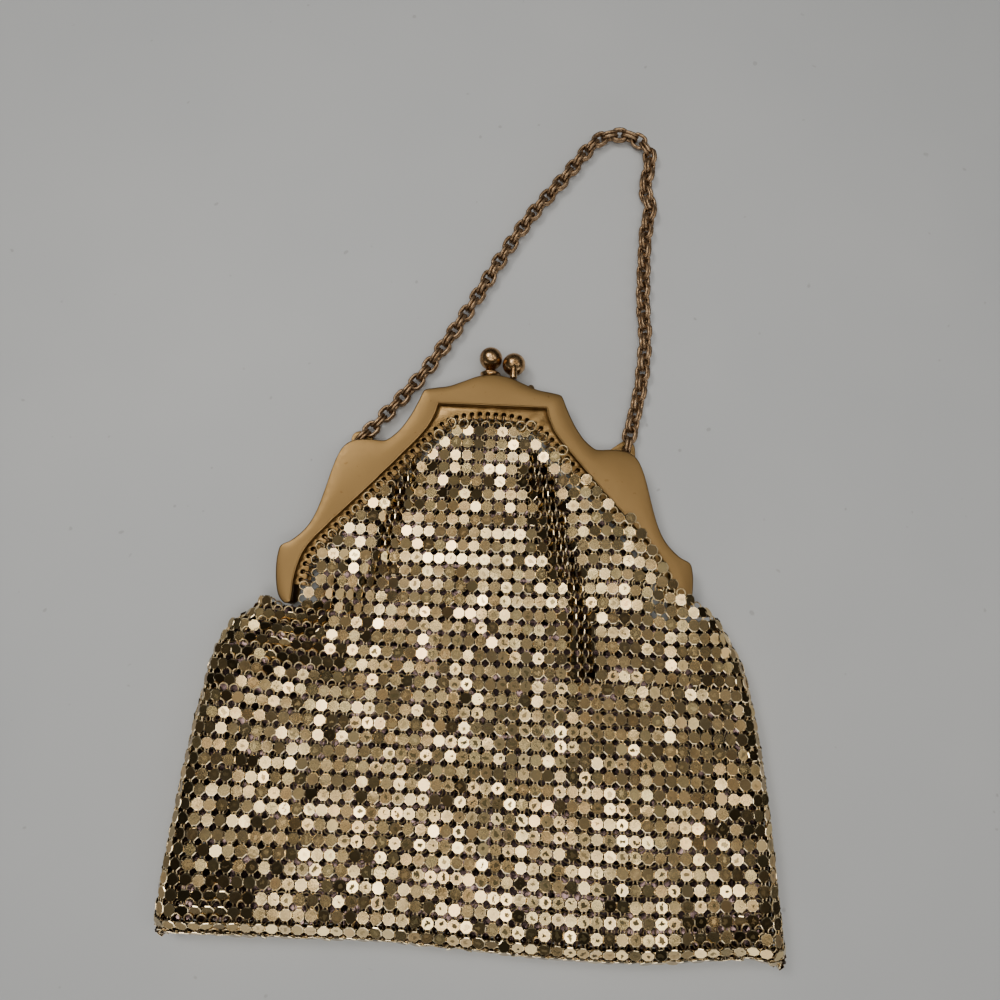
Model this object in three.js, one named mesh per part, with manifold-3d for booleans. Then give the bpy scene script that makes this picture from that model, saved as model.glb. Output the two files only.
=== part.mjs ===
import * as THREE from "three";
import { mergeGeometries, mergeVertices } from "three/addons/utils/BufferGeometryUtils.js";
import Module from "manifold-3d";

// A metal mesh purse lying on its back with its chain laid out above it.
// Millimetres. +X is to the right, +Y runs from the mouth toward the chain, +Z is up off the surface.

// Frame: two stamped plates that close face to face.
const FRAME_WIDTH = 114.8;
const FRAME_DROP = 67.9;
const CLOSED_DEPTH = 9.4;
const PLATE_GAUGE = 0.8;
const CROWN_RISE = 0.75;
const EDGE_ROLL = 0.8;
const BEAD_WIDTH = 0.6;
const BEAD_RISE = 0.35;
const PLATE_LIP = 1.0;
const PARTING_GAP = 0.4;

// Perforated strips that the mesh hangs from.
const HOLE_COUNT = 60;
const HOLE_SIDES = 6;
const HOLE_DIAMETER = 1.3;
const STRIP_MARGIN = 1.45;
const STRIP_GAUGE = 0.6;
const STRIP_TUCK = 0.75;
const FIT_GAP = 0.3;

// Mesh pouch.
const POUCH_WIDTH = 160.6;
const POUCH_DROP = 155.3;
const POUCH_DEPTH = 12.6;
const MESH_GAUGE = 1.5;
const BOTTOM_ROUND = 6.2;
const FRONT_COLUMNS = 20;
const SIDE_COLUMNS = 3;

// Clasp, lugs, hinge and chain.
const BALL_DIAMETER = 5.7;
const BALL_PITCH = 6.8;
const BALL_REACH = 5.3;
const STEM_DIAMETER = 1.7;
const COLLAR_DIAMETER = 3.6;
const STOP_DIAMETER = 2.2;
const LUG_SPACING = 78.8;
const LUG_DIAMETER = 6;
const LUG_HOLE = 2.3;
const LUG_GAUGE = 1;
const LUG_STAND = 1.99;
const HINGE_PIN_DIAMETER = 2;
const CHAIN_WIDTH = 3.7;
const CHAIN_SIDES = 8;
const CHAIN_STEPS = 50;
const LOOP_RISE = 84.4;

const MID = CLOSED_DEPTH / 2;
const HALF_FRAME = FRAME_WIDTH / 2;
const HALF_POUCH = POUCH_WIDTH / 2;
const HINGE_DOWN = FRAME_DROP + FIT_GAP;
const GATHER = HALF_FRAME * 0.86;

// Half of a frame plate, from the peak to the hinge tip. Shares of HALF_FRAME across and of FRAME_DROP
// down: the outer edge, then the beaded inner edge that faces it.
const FRAME_ROWS = [
  { part: "peak", outX: 0, outDown: 0, inX: 0, inDown: 0.144 },
  { part: "peak", outX: 0.03, outDown: 0.002, inX: 0.052, inDown: 0.144 },
  { part: "peak", outX: 0.087, outDown: 0.012, inX: 0.105, inDown: 0.144 },
  { part: "dip", outX: 0.148, outDown: 0.034, inX: 0.157, inDown: 0.144 },
  { part: "dip", outX: 0.221, outDown: 0.059, inX: 0.209, inDown: 0.144 },
  { part: "dip", outX: 0.287, outDown: 0.069, inX: 0.247, inDown: 0.144 },
  { part: "shoulder", outX: 0.336, outDown: 0.078, inX: 0.266, inDown: 0.144 },
  { part: "shoulder", outX: 0.352, outDown: 0.094, inX: 0.272, inDown: 0.159 },
  { part: "sweep", outX: 0.373, outDown: 0.138, inX: 0.282, inDown: 0.191 },
  { part: "sweep", outX: 0.411, outDown: 0.205, inX: 0.315, inDown: 0.25 },
  { part: "sweep", outX: 0.458, outDown: 0.264, inX: 0.369, inDown: 0.309 },
  { part: "notch", outX: 0.509, outDown: 0.302, inX: 0.425, inDown: 0.362 },
  { part: "notch", outX: 0.54, outDown: 0.308, inX: 0.469, inDown: 0.405 },
  { part: "ledge", outX: 0.601, outDown: 0.305, inX: 0.514, inDown: 0.446 },
  { part: "ledge", outX: 0.676, outDown: 0.312, inX: 0.566, inDown: 0.495 },
  { part: "bulge", outX: 0.723, outDown: 0.339, inX: 0.617, inDown: 0.542 },
  { part: "bulge", outX: 0.751, outDown: 0.383, inX: 0.662, inDown: 0.582 },
  { part: "arm", outX: 0.775, outDown: 0.448, inX: 0.704, inDown: 0.62 },
  { part: "arm", outX: 0.801, outDown: 0.536, inX: 0.749, inDown: 0.66 },
  { part: "arm", outX: 0.829, outDown: 0.617, inX: 0.787, inDown: 0.697 },
  { part: "flare", outX: 0.859, outDown: 0.672, inX: 0.817, inDown: 0.725 },
  { part: "flare", outX: 0.897, outDown: 0.713, inX: 0.84, inDown: 0.75 },
  { part: "flare", outX: 0.941, outDown: 0.745, inX: 0.859, inDown: 0.775 },
  { part: "corner", outX: 0.986, outDown: 0.766, inX: 0.876, inDown: 0.804 },
  { part: "tip", outX: 0.998, outDown: 0.803, inX: 0.887, inDown: 0.834 },
  { part: "tip", outX: 1, outDown: 0.854, inX: 0.897, inDown: 0.869 },
  { part: "tip", outX: 0.993, outDown: 0.913, inX: 0.904, inDown: 0.913 },
  { part: "tip", outX: 0.977, outDown: 0.966, inX: 0.905, inDown: 0.943 },
  { part: "end", outX: 0.951, outDown: 0.994, inX: 0.907, inDown: 0.972 },
  { part: "end", outX: 0.931, outDown: 1, inX: 0.909, inDown: 0.985 },
];

// The line of the holes, half of it, in the same shares.
const HOLE_LINE = [
  { part: "arch", x: 0, down: 0.173 },
  { part: "arch", x: 0.06, down: 0.174 },
  { part: "arch", x: 0.122, down: 0.18 },
  { part: "arch", x: 0.165, down: 0.189 },
  { part: "arch", x: 0.203, down: 0.201 },
  { part: "arch", x: 0.237, down: 0.218 },
  { part: "arch", x: 0.267, down: 0.24 },
  { part: "arm", x: 0.296, down: 0.265 },
  { part: "arm", x: 0.35, down: 0.315 },
  { part: "arm", x: 0.449, down: 0.411 },
  { part: "arm", x: 0.547, down: 0.502 },
  { part: "arm", x: 0.643, down: 0.591 },
  { part: "arm", x: 0.733, down: 0.675 },
  { part: "arm", x: 0.797, down: 0.736 },
  { part: "arm", x: 0.838, down: 0.785 },
  { part: "arm", x: 0.861, down: 0.83 },
  { part: "arm", x: 0.873, down: 0.875 },
  { part: "arm", x: 0.878, down: 0.92 },
];

// Sections of the pouch. Down is a share of POUCH_DROP, left and right of HALF_POUCH, and the heights
// of the front sheet over the surface at the left, middle and right are shares of POUCH_DEPTH.
const SECTIONS = [
  { down: 0.07, left: 0.72, right: 0.71, topLeft: 0.66, topMid: 0.67, topRight: 0.7 },
  { down: 0.16, left: 0.72, right: 0.71, topLeft: 0.66, topMid: 0.7, topRight: 0.93 },
  { down: 0.26, left: 0.72, right: 0.715, topLeft: 0.66, topMid: 0.74, topRight: 0.93 },
  { down: 0.36, left: 0.72, right: 0.72, topLeft: 0.68, topMid: 0.8, topRight: 0.93 },
  { down: 0.397, left: 0.73, right: 0.747, topLeft: 0.69, topMid: 0.83, topRight: 0.93 },
  { down: 0.431, left: 0.75, right: 0.8, topLeft: 0.7, topMid: 0.86, topRight: 0.93 },
  { down: 0.451, left: 0.801, right: 0.824, topLeft: 0.74, topMid: 0.87, topRight: 0.93 },
  { down: 0.474, left: 0.858, right: 0.848, topLeft: 0.79, topMid: 0.89, topRight: 0.93 },
  { down: 0.506, left: 0.892, right: 0.882, topLeft: 0.85, topMid: 0.92, topRight: 0.93 },
  { down: 0.541, left: 0.911, right: 0.902, topLeft: 0.9, topMid: 0.95, topRight: 0.94 },
  { down: 0.592, left: 0.924, right: 0.922, topLeft: 0.95, topMid: 0.98, topRight: 0.96 },
  { down: 0.644, left: 0.94, right: 0.94, topLeft: 0.98, topMid: 1, topRight: 0.98 },
  { down: 0.728, left: 0.959, right: 0.961, topLeft: 1, topMid: 1, topRight: 1 },
  { down: 0.818, left: 0.976, right: 0.981, topLeft: 0.99, topMid: 0.99, topRight: 0.99 },
  { down: 0.901, left: 0.99, right: 0.995, topLeft: 0.97, topMid: 0.98, topRight: 0.98 },
  { down: 0.96, left: 0.993, right: 1.007, topLeft: 0.95, topMid: 0.97, topRight: 0.97 },
  { down: 1, left: 0.965, right: 0.99, topLeft: 0.94, topMid: 0.96, topRight: 0.96 },
];

// Folds of the front sheet. Each runs from one point to another, in shares of HALF_POUCH across and of
// POUCH_DROP down. Sink is a share of POUCH_DEPTH, below zero for a ridge, and width of HALF_POUCH.
const FOLDS = [
  { name: "left_furrow", x0: -0.27, down0: 0.2, x1: -0.37, down1: 0.4, sink: 0.1, width: 0.05 },
  { name: "left_crease", x0: -0.47, down0: 0.38, x1: -0.6, down1: 0.5, sink: 0.1, width: 0.06 },
  { name: "left_hollow", x0: -0.95, down0: 0.5, x1: -0.52, down1: 0.56, sink: 0.13, width: 0.1 },
  { name: "right_furrow", x0: 0.12, down0: 0.17, x1: 0.26, down1: 0.4, sink: 0.12, width: 0.06 },
  { name: "right_trough", x0: 0.26, down0: 0.42, x1: 0.5, down1: 0.66, sink: 0.06, width: 0.1 },
  { name: "middle_ridge", x0: 0.0, down0: 0.25, x1: 0.02, down1: 0.7, sink: -0.05, width: 0.09 },
];

// How far the mouth edge of the front sheet stands out past the line of holes, as a share of
// STRIP_MARGIN and for each share of HALF_FRAME across. On the right the sheet has slid up over the frame.
const MOUTH_OVERLAP = [
  { x: -1, past: -1.25 },
  { x: 0.27, past: -1.25 },
  { x: 0.4, past: 0 },
  { x: 0.54, past: 1.3 },
  { x: 0.8, past: 2.2 },
  { x: 1, past: 2.4 },
];

// The chain's route over the surface, from the left lug to the right one. Shares of HALF_FRAME
// across and of LOOP_RISE above the frame's peak.
const CHAIN_ROUTE = [
  { x: -0.605, rise: -0.187 },
  { x: -0.455, rise: -0.064 },
  { x: -0.326, rise: 0.058 },
  { x: -0.145, rise: 0.27 },
  { x: 0.024, rise: 0.487 },
  { x: 0.16, rise: 0.641 },
  { x: 0.319, rise: 0.787 },
  { x: 0.456, rise: 0.918 },
  { x: 0.537, rise: 0.966 },
  { x: 0.65, rise: 0.978 },
  { x: 0.749, rise: 0.945 },
  { x: 0.789, rise: 0.883 },
  { x: 0.765, rise: 0.761 },
  { x: 0.793, rise: 0.694 },
  { x: 0.768, rise: 0.562 },
  { x: 0.761, rise: 0.328 },
  { x: 0.774, rise: 0.178 },
  { x: 0.756, rise: 0.011 },
  { x: 0.714, rise: -0.136 },
];

const wasm = await Module();
wasm.setup();

const SATIN_GOLD = new THREE.MeshStandardMaterial({ color: 0xa9834c, roughness: 0.38, metalness: 1 });
const STRIP_GOLD = new THREE.MeshStandardMaterial({ color: 0xb59a70, roughness: 0.35, metalness: 1 });
const MESH_GOLD = new THREE.MeshStandardMaterial({ color: 0x9a8a66, roughness: 0.42, metalness: 1 });
const OLD_BRASS = new THREE.MeshStandardMaterial({ color: 0x6e5738, roughness: 0.28, metalness: 1 });
const CHAIN_BRONZE = new THREE.MeshStandardMaterial({ color: 0x6b5644, roughness: 0.4, metalness: 1 });
const PIN_STEEL = new THREE.MeshStandardMaterial({ color: 0x8a8378, roughness: 0.4, metalness: 1 });

function smooth(t) {
  const u = Math.min(1, Math.max(0, t));
  return u * u * (3 - 2 * u);
}

// Value of one column of a table at a place along another column.
function lookUp(rows, key, at, column) {
  const last = rows.length - 1;
  if (at <= rows[0][key]) return rows[0][column];
  if (at >= rows[last][key]) return rows[last][column];
  const i = rows.findIndex((row) => row[key] > at) - 1;
  const t = (at - rows[i][key]) / (rows[i + 1][key] - rows[i][key]);
  return THREE.MathUtils.lerp(rows[i][column], rows[i + 1][column], t);
}

// Both halves of a table of the right half, from the left end to the right end.
function bothHalves(rows, toPoint) {
  const right = rows.map(toPoint);
  const left = right
    .slice(1)
    .reverse()
    .map((p) => new THREE.Vector2(-p.x, p.y));
  return [...left, ...right];
}

// A line moved sideways by a distance, to the left of its direction, with mitred corners.
function offsetLine(points, distance) {
  return points.map((p, i) => {
    const before = points[Math.max(0, i - 1)];
    const after = points[Math.min(points.length - 1, i + 1)];
    const a = p.clone().sub(before);
    const b = after.clone().sub(p);
    if (i === 0) a.copy(b);
    if (i === points.length - 1) b.copy(a);
    a.normalize();
    b.normalize();
    const normal = new THREE.Vector2(-a.y - b.y, a.x + b.x).normalize();
    const mitre = Math.max(0.5, normal.dot(new THREE.Vector2(-a.y, a.x)));
    return p.clone().addScaledVector(normal, distance / mitre);
  });
}

// A closed outline without the points that lie on a straight run of it.
function cornersOnly(points) {
  return points.filter((p, i) => {
    const before = points[(i + points.length - 1) % points.length];
    const after = points[(i + 1) % points.length];
    const a = p.clone().sub(before).normalize();
    const b = after.clone().sub(p).normalize();
    return Math.abs(a.cross(b)) > 1e-3;
  });
}

// The triangles that close a flat ring, turned the way the ring runs.
function capOf(contour) {
  const turn = Math.sign(THREE.ShapeUtils.area(contour));
  return THREE.ShapeUtils.triangulateShape(contour, []).map(([a, b, c]) => {
    const corner = [contour[a], contour[b], contour[c]];
    return Math.sign(THREE.ShapeUtils.area(corner)) === turn ? [a, b, c] : [a, c, b];
  });
}

// A closed solid from rings of the same number of points, with flat ends.
function skin(rings, capA, capB) {
  const count = rings[0].length;
  const positions = rings.flat().flatMap((p) => [p.x, p.y, p.z]);
  const index = [];
  for (let j = 0; j + 1 < rings.length; j++) {
    for (let k = 0; k < count; k++) {
      const a = j * count + k;
      const b = j * count + ((k + 1) % count);
      index.push(a, b, b + count, a, b + count, a + count);
    }
  }
  const start = (rings.length - 1) * count;
  for (const [a, b, c] of capA) index.push(c, b, a);
  for (const [a, b, c] of capB) index.push(start + a, start + b, start + c);
  const geometry = new THREE.BufferGeometry();
  geometry.setAttribute("position", new THREE.Float32BufferAttribute(positions, 3));
  geometry.setIndex(index);
  return geometry;
}

function turnedRightWayOut(geometry) {
  if (toSolid(geometry).volume() >= 0) return geometry;
  const index = geometry.index.array;
  for (let i = 0; i < index.length; i += 3) [index[i + 1], index[i + 2]] = [index[i + 2], index[i + 1]];
  return geometry;
}

function toSolid(geometry) {
  const plain = geometry.clone();
  plain.deleteAttribute("normal");
  plain.deleteAttribute("uv");
  const merged = mergeVertices(plain, 1e-4);
  return new wasm.Manifold(
    new wasm.Mesh({
      numProp: 3,
      vertProperties: new Float32Array(merged.attributes.position.array),
      triVerts: new Uint32Array(merged.index.array),
    }),
  );
}

function toGeometry(solid) {
  const mesh = solid.getMesh();
  const geometry = new THREE.BufferGeometry();
  geometry.setAttribute("position", new THREE.Float32BufferAttribute(mesh.vertProperties, 3));
  geometry.setIndex(new THREE.BufferAttribute(mesh.triVerts, 1));
  return geometry;
}

function named(name, geometry, material) {
  const flat = geometry.index ? geometry.toNonIndexed() : geometry;
  flat.computeVertexNormals();
  const mesh = new THREE.Mesh(flat, material);
  mesh.name = name;
  return mesh;
}

// Frame plate. Side is 1 for the front plate and -1 for the back one.
function platePairs() {
  const out = bothHalves(FRAME_ROWS, (r) => new THREE.Vector2(r.outX * HALF_FRAME, -r.outDown * FRAME_DROP));
  const inner = bothHalves(FRAME_ROWS, (r) => new THREE.Vector2(r.inX * HALF_FRAME, -r.inDown * FRAME_DROP));
  return out.map((o, i) => ({ out: o, inner: inner[i] }));
}

function plateProfile(width) {
  const rise = MID - BEAD_RISE;
  const crown = Math.min(CROWN_RISE, width * 0.1);
  const edge = rise - crown;
  const lip = Math.min(PLATE_LIP, width * 0.3);
  const roll = Math.min(EDGE_ROLL, width * 0.25);
  const bead = Math.min(BEAD_WIDTH, width * 0.2);
  const foot = PARTING_GAP / 2;
  return [
    [0, foot],
    [0, edge - roll],
    [roll * 0.3, edge - roll * 0.3],
    [roll, edge],
    [width * 0.5, rise],
    [width - bead - roll * 0.5, edge + crown * 0.4],
    [width - bead, MID],
    [width - bead * 0.15, MID],
    [width, MID - bead * 0.6],
    [width, edge - PLATE_GAUGE * 0.6],
    [width - lip, edge - PLATE_GAUGE * 0.6],
    [width * 0.5, rise - PLATE_GAUGE],
    [PLATE_GAUGE, edge - PLATE_GAUGE],
    [Math.min(PLATE_GAUGE, width * 0.3), foot],
  ];
}

function framePlate(side) {
  const rings = platePairs().map(({ out, inner }) => {
    const across = inner.clone().sub(out);
    const width = across.length();
    across.normalize();
    return plateProfile(width).map(([s, h]) => {
      const p = out.clone().addScaledVector(across, s);
      return new THREE.Vector3(p.x, p.y, MID + side * h);
    });
  });
  const contour = plateProfile(6).map(([s, h]) => new THREE.Vector2(s, h));
  const cap = capOf(contour);
  return turnedRightWayOut(skin(rings, cap, cap));
}

// Perforated strip with the flat webs that fill the frame's upper corners.
function holeLine() {
  return bothHalves(HOLE_LINE, (r) => new THREE.Vector2(r.x * HALF_FRAME, -r.down * FRAME_DROP));
}

function stripHoles() {
  const line = holeLine();
  const curve = new THREE.CatmullRomCurve3(line.map((p) => new THREE.Vector3(p.x, p.y, 0)));
  const places = [];
  for (let i = 0; i < HOLE_COUNT; i++) places.push(curve.getPointAt((i + 0.5) / HOLE_COUNT));
  return places;
}

function meshStrip(side) {
  const line = holeLine();
  const upper = platePairs().map((pair) => pair.inner);
  const top = offsetLine(upper, STRIP_TUCK);
  const ends = line[line.length - 1].y;
  const tucked = top.filter((p) => p.y > ends - STRIP_MARGIN * 0.4);
  const lower = offsetLine(line, -STRIP_MARGIN);
  const shape = new THREE.Shape(cornersOnly([...tucked, ...lower.reverse()]));
  const band = new THREE.ExtrudeGeometry(shape, { depth: STRIP_GAUGE, bevelEnabled: false });
  const drills = stripHoles().map((hole) => {
    const drill = new THREE.CylinderGeometry(HOLE_DIAMETER / 2, HOLE_DIAMETER / 2, STRIP_GAUGE * 3, HOLE_SIDES);
    return drill.rotateX(Math.PI / 2).translate(hole.x, hole.y, STRIP_GAUGE / 2);
  });
  const pierced = toGeometry(toSolid(band).subtract(toSolid(mergeGeometries(drills))));
  return pierced.translate(0, 0, side > 0 ? stripTop() - STRIP_GAUGE : CLOSED_DEPTH - stripTop());
}

function stripTop() {
  return CLOSED_DEPTH - BEAD_RISE - CROWN_RISE - PLATE_GAUGE * 0.6 - FIT_GAP;
}

// Pouch: its outline, the height of its front sheet, and the edge of its mouth.
function sectionAt(down) {
  const share = down / POUCH_DROP;
  const at = (column) => lookUp(SECTIONS, "down", share, column);
  return {
    left: at("left") * HALF_POUCH,
    right: at("right") * HALF_POUCH,
    topLeft: at("topLeft") * POUCH_DEPTH,
    topMid: at("topMid") * POUCH_DEPTH,
    topRight: at("topRight") * POUCH_DEPTH,
  };
}

function foldSink(x, down) {
  let sink = 0;
  for (const fold of FOLDS) {
    const a = new THREE.Vector2(fold.x0 * HALF_POUCH, fold.down0 * POUCH_DROP);
    const run = new THREE.Vector2(fold.x1 * HALF_POUCH, fold.down1 * POUCH_DROP).sub(a);
    const p = new THREE.Vector2(x, down).sub(a);
    const t = THREE.MathUtils.clamp(p.dot(run) / run.lengthSq(), 0, 1);
    const away = p.distanceTo(run.clone().multiplyScalar(t)) / (fold.width * HALF_POUCH);
    sink += fold.sink * POUCH_DEPTH * Math.exp(-away * away);
  }
  return sink;
}

function frontHeight(share, x, down) {
  const s = sectionAt(down);
  const toward = share < 0 ? s.topLeft : s.topRight;
  const level = THREE.MathUtils.lerp(s.topMid, toward, smooth(Math.abs(share) * 1.5));
  const fade = smooth((POUCH_DROP - down) / (3 * BOTTOM_ROUND)) * smooth((1 - Math.abs(share)) * 8);
  return level - foldSink(x, down) * fade;
}

function mouthDown(x, back) {
  const across = THREE.MathUtils.clamp(x / HALF_FRAME, -1, 1);
  const over = back ? MOUTH_OVERLAP[0].past : lookUp(MOUTH_OVERLAP, "x", across, "past");
  const line = offsetLine(holeLine(), over * STRIP_MARGIN);
  const last = line.length - 1;
  if (x <= line[0].x) return -line[0].y;
  if (x >= line[last].x) return -line[last].y;
  const i = line.findIndex((p) => p.x > x) - 1;
  const t = (x - line[i].x) / (line[i + 1].x - line[i].x);
  return -THREE.MathUtils.lerp(line[i].y, line[i + 1].y, t);
}

// The columns of the loop round the pouch: share across, and angle round an end where it is one.
function loopColumns() {
  const columns = [];
  for (let k = 0; k <= FRONT_COLUMNS; k++) {
    columns.push({ face: "front", share: 1 - (2 * k) / FRONT_COLUMNS });
  }
  for (let k = 1; k <= SIDE_COLUMNS; k++) {
    columns.push({ face: "left", turn: k / (SIDE_COLUMNS + 1) });
  }
  for (let k = 0; k <= FRONT_COLUMNS; k++) {
    columns.push({ face: "back", share: -1 + (2 * k) / FRONT_COLUMNS });
  }
  for (let k = 1; k <= SIDE_COLUMNS; k++) {
    columns.push({ face: "right", turn: 1 - k / (SIDE_COLUMNS + 1) });
  }
  return columns;
}

// How far down each column starts. Below the hinge tips the sheets join round the sides.
function columnTop(column) {
  const rightFront = 0.87 * FRAME_DROP;
  if (column.face === "left") return HINGE_DOWN;
  if (column.face === "right") return THREE.MathUtils.lerp(rightFront, HINGE_DOWN, smooth(1.4 * column.turn));
  const over = column.face === "front" && column.share > 0;
  if (Math.abs(column.share) === 1 && !over) return HINGE_DOWN;
  const s = sectionAt(0.3 * POUCH_DROP);
  const x = column.share * (over ? s.right - s.topRight / 2 : GATHER);
  return over ? Math.min(rightFront, mouthDown(x, false)) : mouthDown(x, column.face === "back");
}

function pouchPoint(column, down, inset) {
  const s = sectionAt(down);
  const round = BOTTOM_ROUND - inset;
  const reach = Math.max(0, (down - (POUCH_DROP - BOTTOM_ROUND)) / round);
  const pinch = Math.sqrt(Math.max(0.02, 1 - reach * reach));
  const levels = { left: s.topLeft, right: s.topRight };
  const name = column.face === "left" || column.share < 0 ? "left" : "right";
  const sign = name === "left" ? -1 : 1;
  const radius = (levels[name] / 2 - inset) * pinch;
  const wide = s[name] - inset - radius;
  const gathered = column.face === "back" || name === "left";
  const spread = smooth((down - HINGE_DOWN) / (2 * BOTTOM_ROUND));
  const centre = gathered && column.turn === undefined ? THREE.MathUtils.lerp(GATHER, wide, spread) : wide;
  if (column.turn !== undefined) {
    const angle = Math.PI * column.turn;
    const z = levels[name] / 2 + radius * Math.cos(angle);
    return new THREE.Vector3(sign * (centre + radius * Math.sin(angle)), -down, z);
  }
  const x = column.share * centre;
  const level = frontHeight(column.share, x, down);
  const half = (level / 2 - inset) * pinch;
  return new THREE.Vector3(x, -down, level / 2 + (column.face === "front" ? half : -half));
}

// The triangles that close the pouch's last loop, between the front columns and the back ones.
function pouchCap() {
  const f = FRONT_COLUMNS;
  const n = SIDE_COLUMNS;
  const backOf = (i) => 2 * f + n + 1 - i;
  const faces = [];
  for (let i = 0; i < f; i++) {
    faces.push([i, i + 1, backOf(i + 1)], [i, backOf(i + 1), backOf(i)]);
  }
  for (let j = 1; j <= n; j++) {
    faces.push([f, f + j, f + j + 1], [backOf(0), backOf(0) + j, (backOf(0) + j + 1) % (2 * f + 2 + 2 * n)]);
  }
  return faces;
}

function meshPouch() {
  const columns = loopColumns();
  const turnIn = POUCH_DROP - BOTTOM_ROUND - MESH_GAUGE;
  const wall = (inset, count, tail) => {
    const rings = [];
    for (let i = 0; i <= count; i++) {
      const t = i / count;
      rings.push(columns.map((c) => pouchPoint(c, THREE.MathUtils.lerp(columnTop(c), turnIn, t), inset)));
    }
    for (const t of tail) {
      const down = THREE.MathUtils.lerp(turnIn, POUCH_DROP - inset, t);
      rings.push(columns.map((c) => pouchPoint(c, down, inset)));
    }
    return rings;
  };
  const outer = wall(0, 16, [0.35, 0.65, 0.87, 1]);
  const inner = wall(MESH_GAUGE, 7, [0.6, 1]);
  const rings = [...inner.reverse(), ...outer];
  return turnedRightWayOut(skin(rings, pouchCap(), pouchCap()));
}

// Clasp: two balls that snap past each other, each on a stem from its own plate.
function claspBall(side) {
  const x = side > 0 ? BALL_PITCH * 0.78 : -BALL_PITCH * 0.18;
  const y = side > 0 ? BALL_REACH * 0.9 : BALL_REACH * 1.1;
  const ball = new THREE.SphereGeometry(BALL_DIAMETER / 2, 14, 9);
  ball.rotateX(Math.PI / 2);
  ball.translate(x, y, MID + side * BALL_DIAMETER * 0.06);
  const foot = side > 0 ? FIT_GAP - 0.012 * FRAME_DROP : FIT_GAP;
  const height = y - foot;
  const stem = new THREE.CylinderGeometry(STEM_DIAMETER / 2, STEM_DIAMETER / 2, height, 12);
  stem.translate(x, foot + height / 2, MID + side * BALL_DIAMETER * 0.28);
  let solid = toSolid(ball).add(toSolid(stem));
  if (side < 0) {
    const collar = new THREE.CylinderGeometry(STEM_DIAMETER / 2, COLLAR_DIAMETER / 2, STEM_DIAMETER * 0.7, 14);
    collar.translate(x, foot + STEM_DIAMETER * 0.35, MID + side * BALL_DIAMETER * 0.28);
    solid = solid.add(toSolid(collar));
  }
  return toGeometry(solid);
}

// Back plate with the chain lugs and the small stop soldered to its edge.
function lugCentre(side) {
  const x = LUG_SPACING / 2;
  const edge = lookUp(FRAME_ROWS, "outX", x / HALF_FRAME, "outDown") * FRAME_DROP;
  return new THREE.Vector3(side * x, LUG_STAND - edge, CHAIN_WIDTH / 2);
}

function backPlate() {
  let solid = toSolid(framePlate(-1));
  for (const side of [-1, 1]) {
    const centre = lugCentre(side);
    const tab = new THREE.CylinderGeometry(LUG_DIAMETER / 2, LUG_DIAMETER / 2, LUG_GAUGE, 16);
    tab.rotateX(Math.PI / 2);
    tab.translate(centre.x, centre.y, centre.z);
    const hole = new THREE.CylinderGeometry(LUG_HOLE / 2, LUG_HOLE / 2, LUG_GAUGE * 3, 10);
    hole.rotateX(Math.PI / 2);
    hole.translate(centre.x, centre.y + LUG_DIAMETER * 0.12, centre.z);
    solid = solid.add(toSolid(tab)).subtract(toSolid(hole));
  }
  const stop = new THREE.SphereGeometry(STOP_DIAMETER / 2, 8, 6);
  stop.translate(0.19 * HALF_FRAME, -0.034 * FRAME_DROP, MID - PARTING_GAP / 2 - STOP_DIAMETER / 2);
  return toGeometry(solid.add(toSolid(stop)));
}

// Hinge pin inside the closed tips of the two plates.
function hingePin(side) {
  const inner = FRAME_ROWS[FRAME_ROWS.length - 3].inX * HALF_FRAME + FIT_GAP;
  const outer = HALF_FRAME - PLATE_GAUGE - FIT_GAP * 2.4;
  const pin = new THREE.CylinderGeometry(HINGE_PIN_DIAMETER / 2, HINGE_PIN_DIAMETER / 2, outer - inner, 12);
  pin.rotateZ(Math.PI / 2);
  pin.translate((side * (inner + outer)) / 2, -0.88 * FRAME_DROP, MID);
  return pin;
}

// Chain: the outer shape of the linked strand, laid on the surface.
class Strand extends THREE.Curve {
  constructor(points) {
    super();
    this.inner = new THREE.CatmullRomCurve3(points, false, "centripetal");
  }
  getPoint(t) {
    return this.inner.getPoint(t);
  }
}

function carryChain() {
  const lug = lugCentre(1);
  const clear = LUG_DIAMETER / 2 + FIT_GAP;
  const route = CHAIN_ROUTE.map((r) => new THREE.Vector3(r.x * HALF_FRAME, r.rise * LOOP_RISE, CHAIN_WIDTH / 2));
  const startDirection = route[0].clone().sub(lugCentre(-1)).normalize();
  const endDirection = route[route.length - 1].clone().sub(lug).normalize();
  route.unshift(lugCentre(-1).addScaledVector(startDirection, clear));
  route.push(lug.clone().addScaledVector(endDirection, clear));
  const section = new THREE.Shape();
  for (let k = 0; k < CHAIN_SIDES; k++) {
    const angle = (2 * Math.PI * (k + 0.5)) / CHAIN_SIDES;
    const radius = CHAIN_WIDTH / 2;
    if (k === 0) section.moveTo(radius * Math.cos(angle), radius * Math.sin(angle));
    else section.lineTo(radius * Math.cos(angle), radius * Math.sin(angle));
  }
  section.closePath();
  return new THREE.ExtrudeGeometry(section, {
    steps: CHAIN_STEPS,
    bevelEnabled: false,
    extrudePath: new Strand(route),
  });
}

const purse = new THREE.Group();
purse.add(
  named("front_frame_plate", framePlate(1), SATIN_GOLD),
  named("back_frame_plate", backPlate(), SATIN_GOLD),
  named("front_mesh_strip", meshStrip(1), STRIP_GOLD),
  named("back_mesh_strip", meshStrip(-1), STRIP_GOLD),
  named("mesh_pouch", meshPouch(), MESH_GOLD),
  named("clasp_ball_left", claspBall(-1), OLD_BRASS),
  named("clasp_ball_right", claspBall(1), OLD_BRASS),
  named("hinge_pin_left", hingePin(-1), PIN_STEEL),
  named("hinge_pin_right", hingePin(1), PIN_STEEL),
  named("carry_chain", carryChain(), CHAIN_BRONZE),
);

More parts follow.
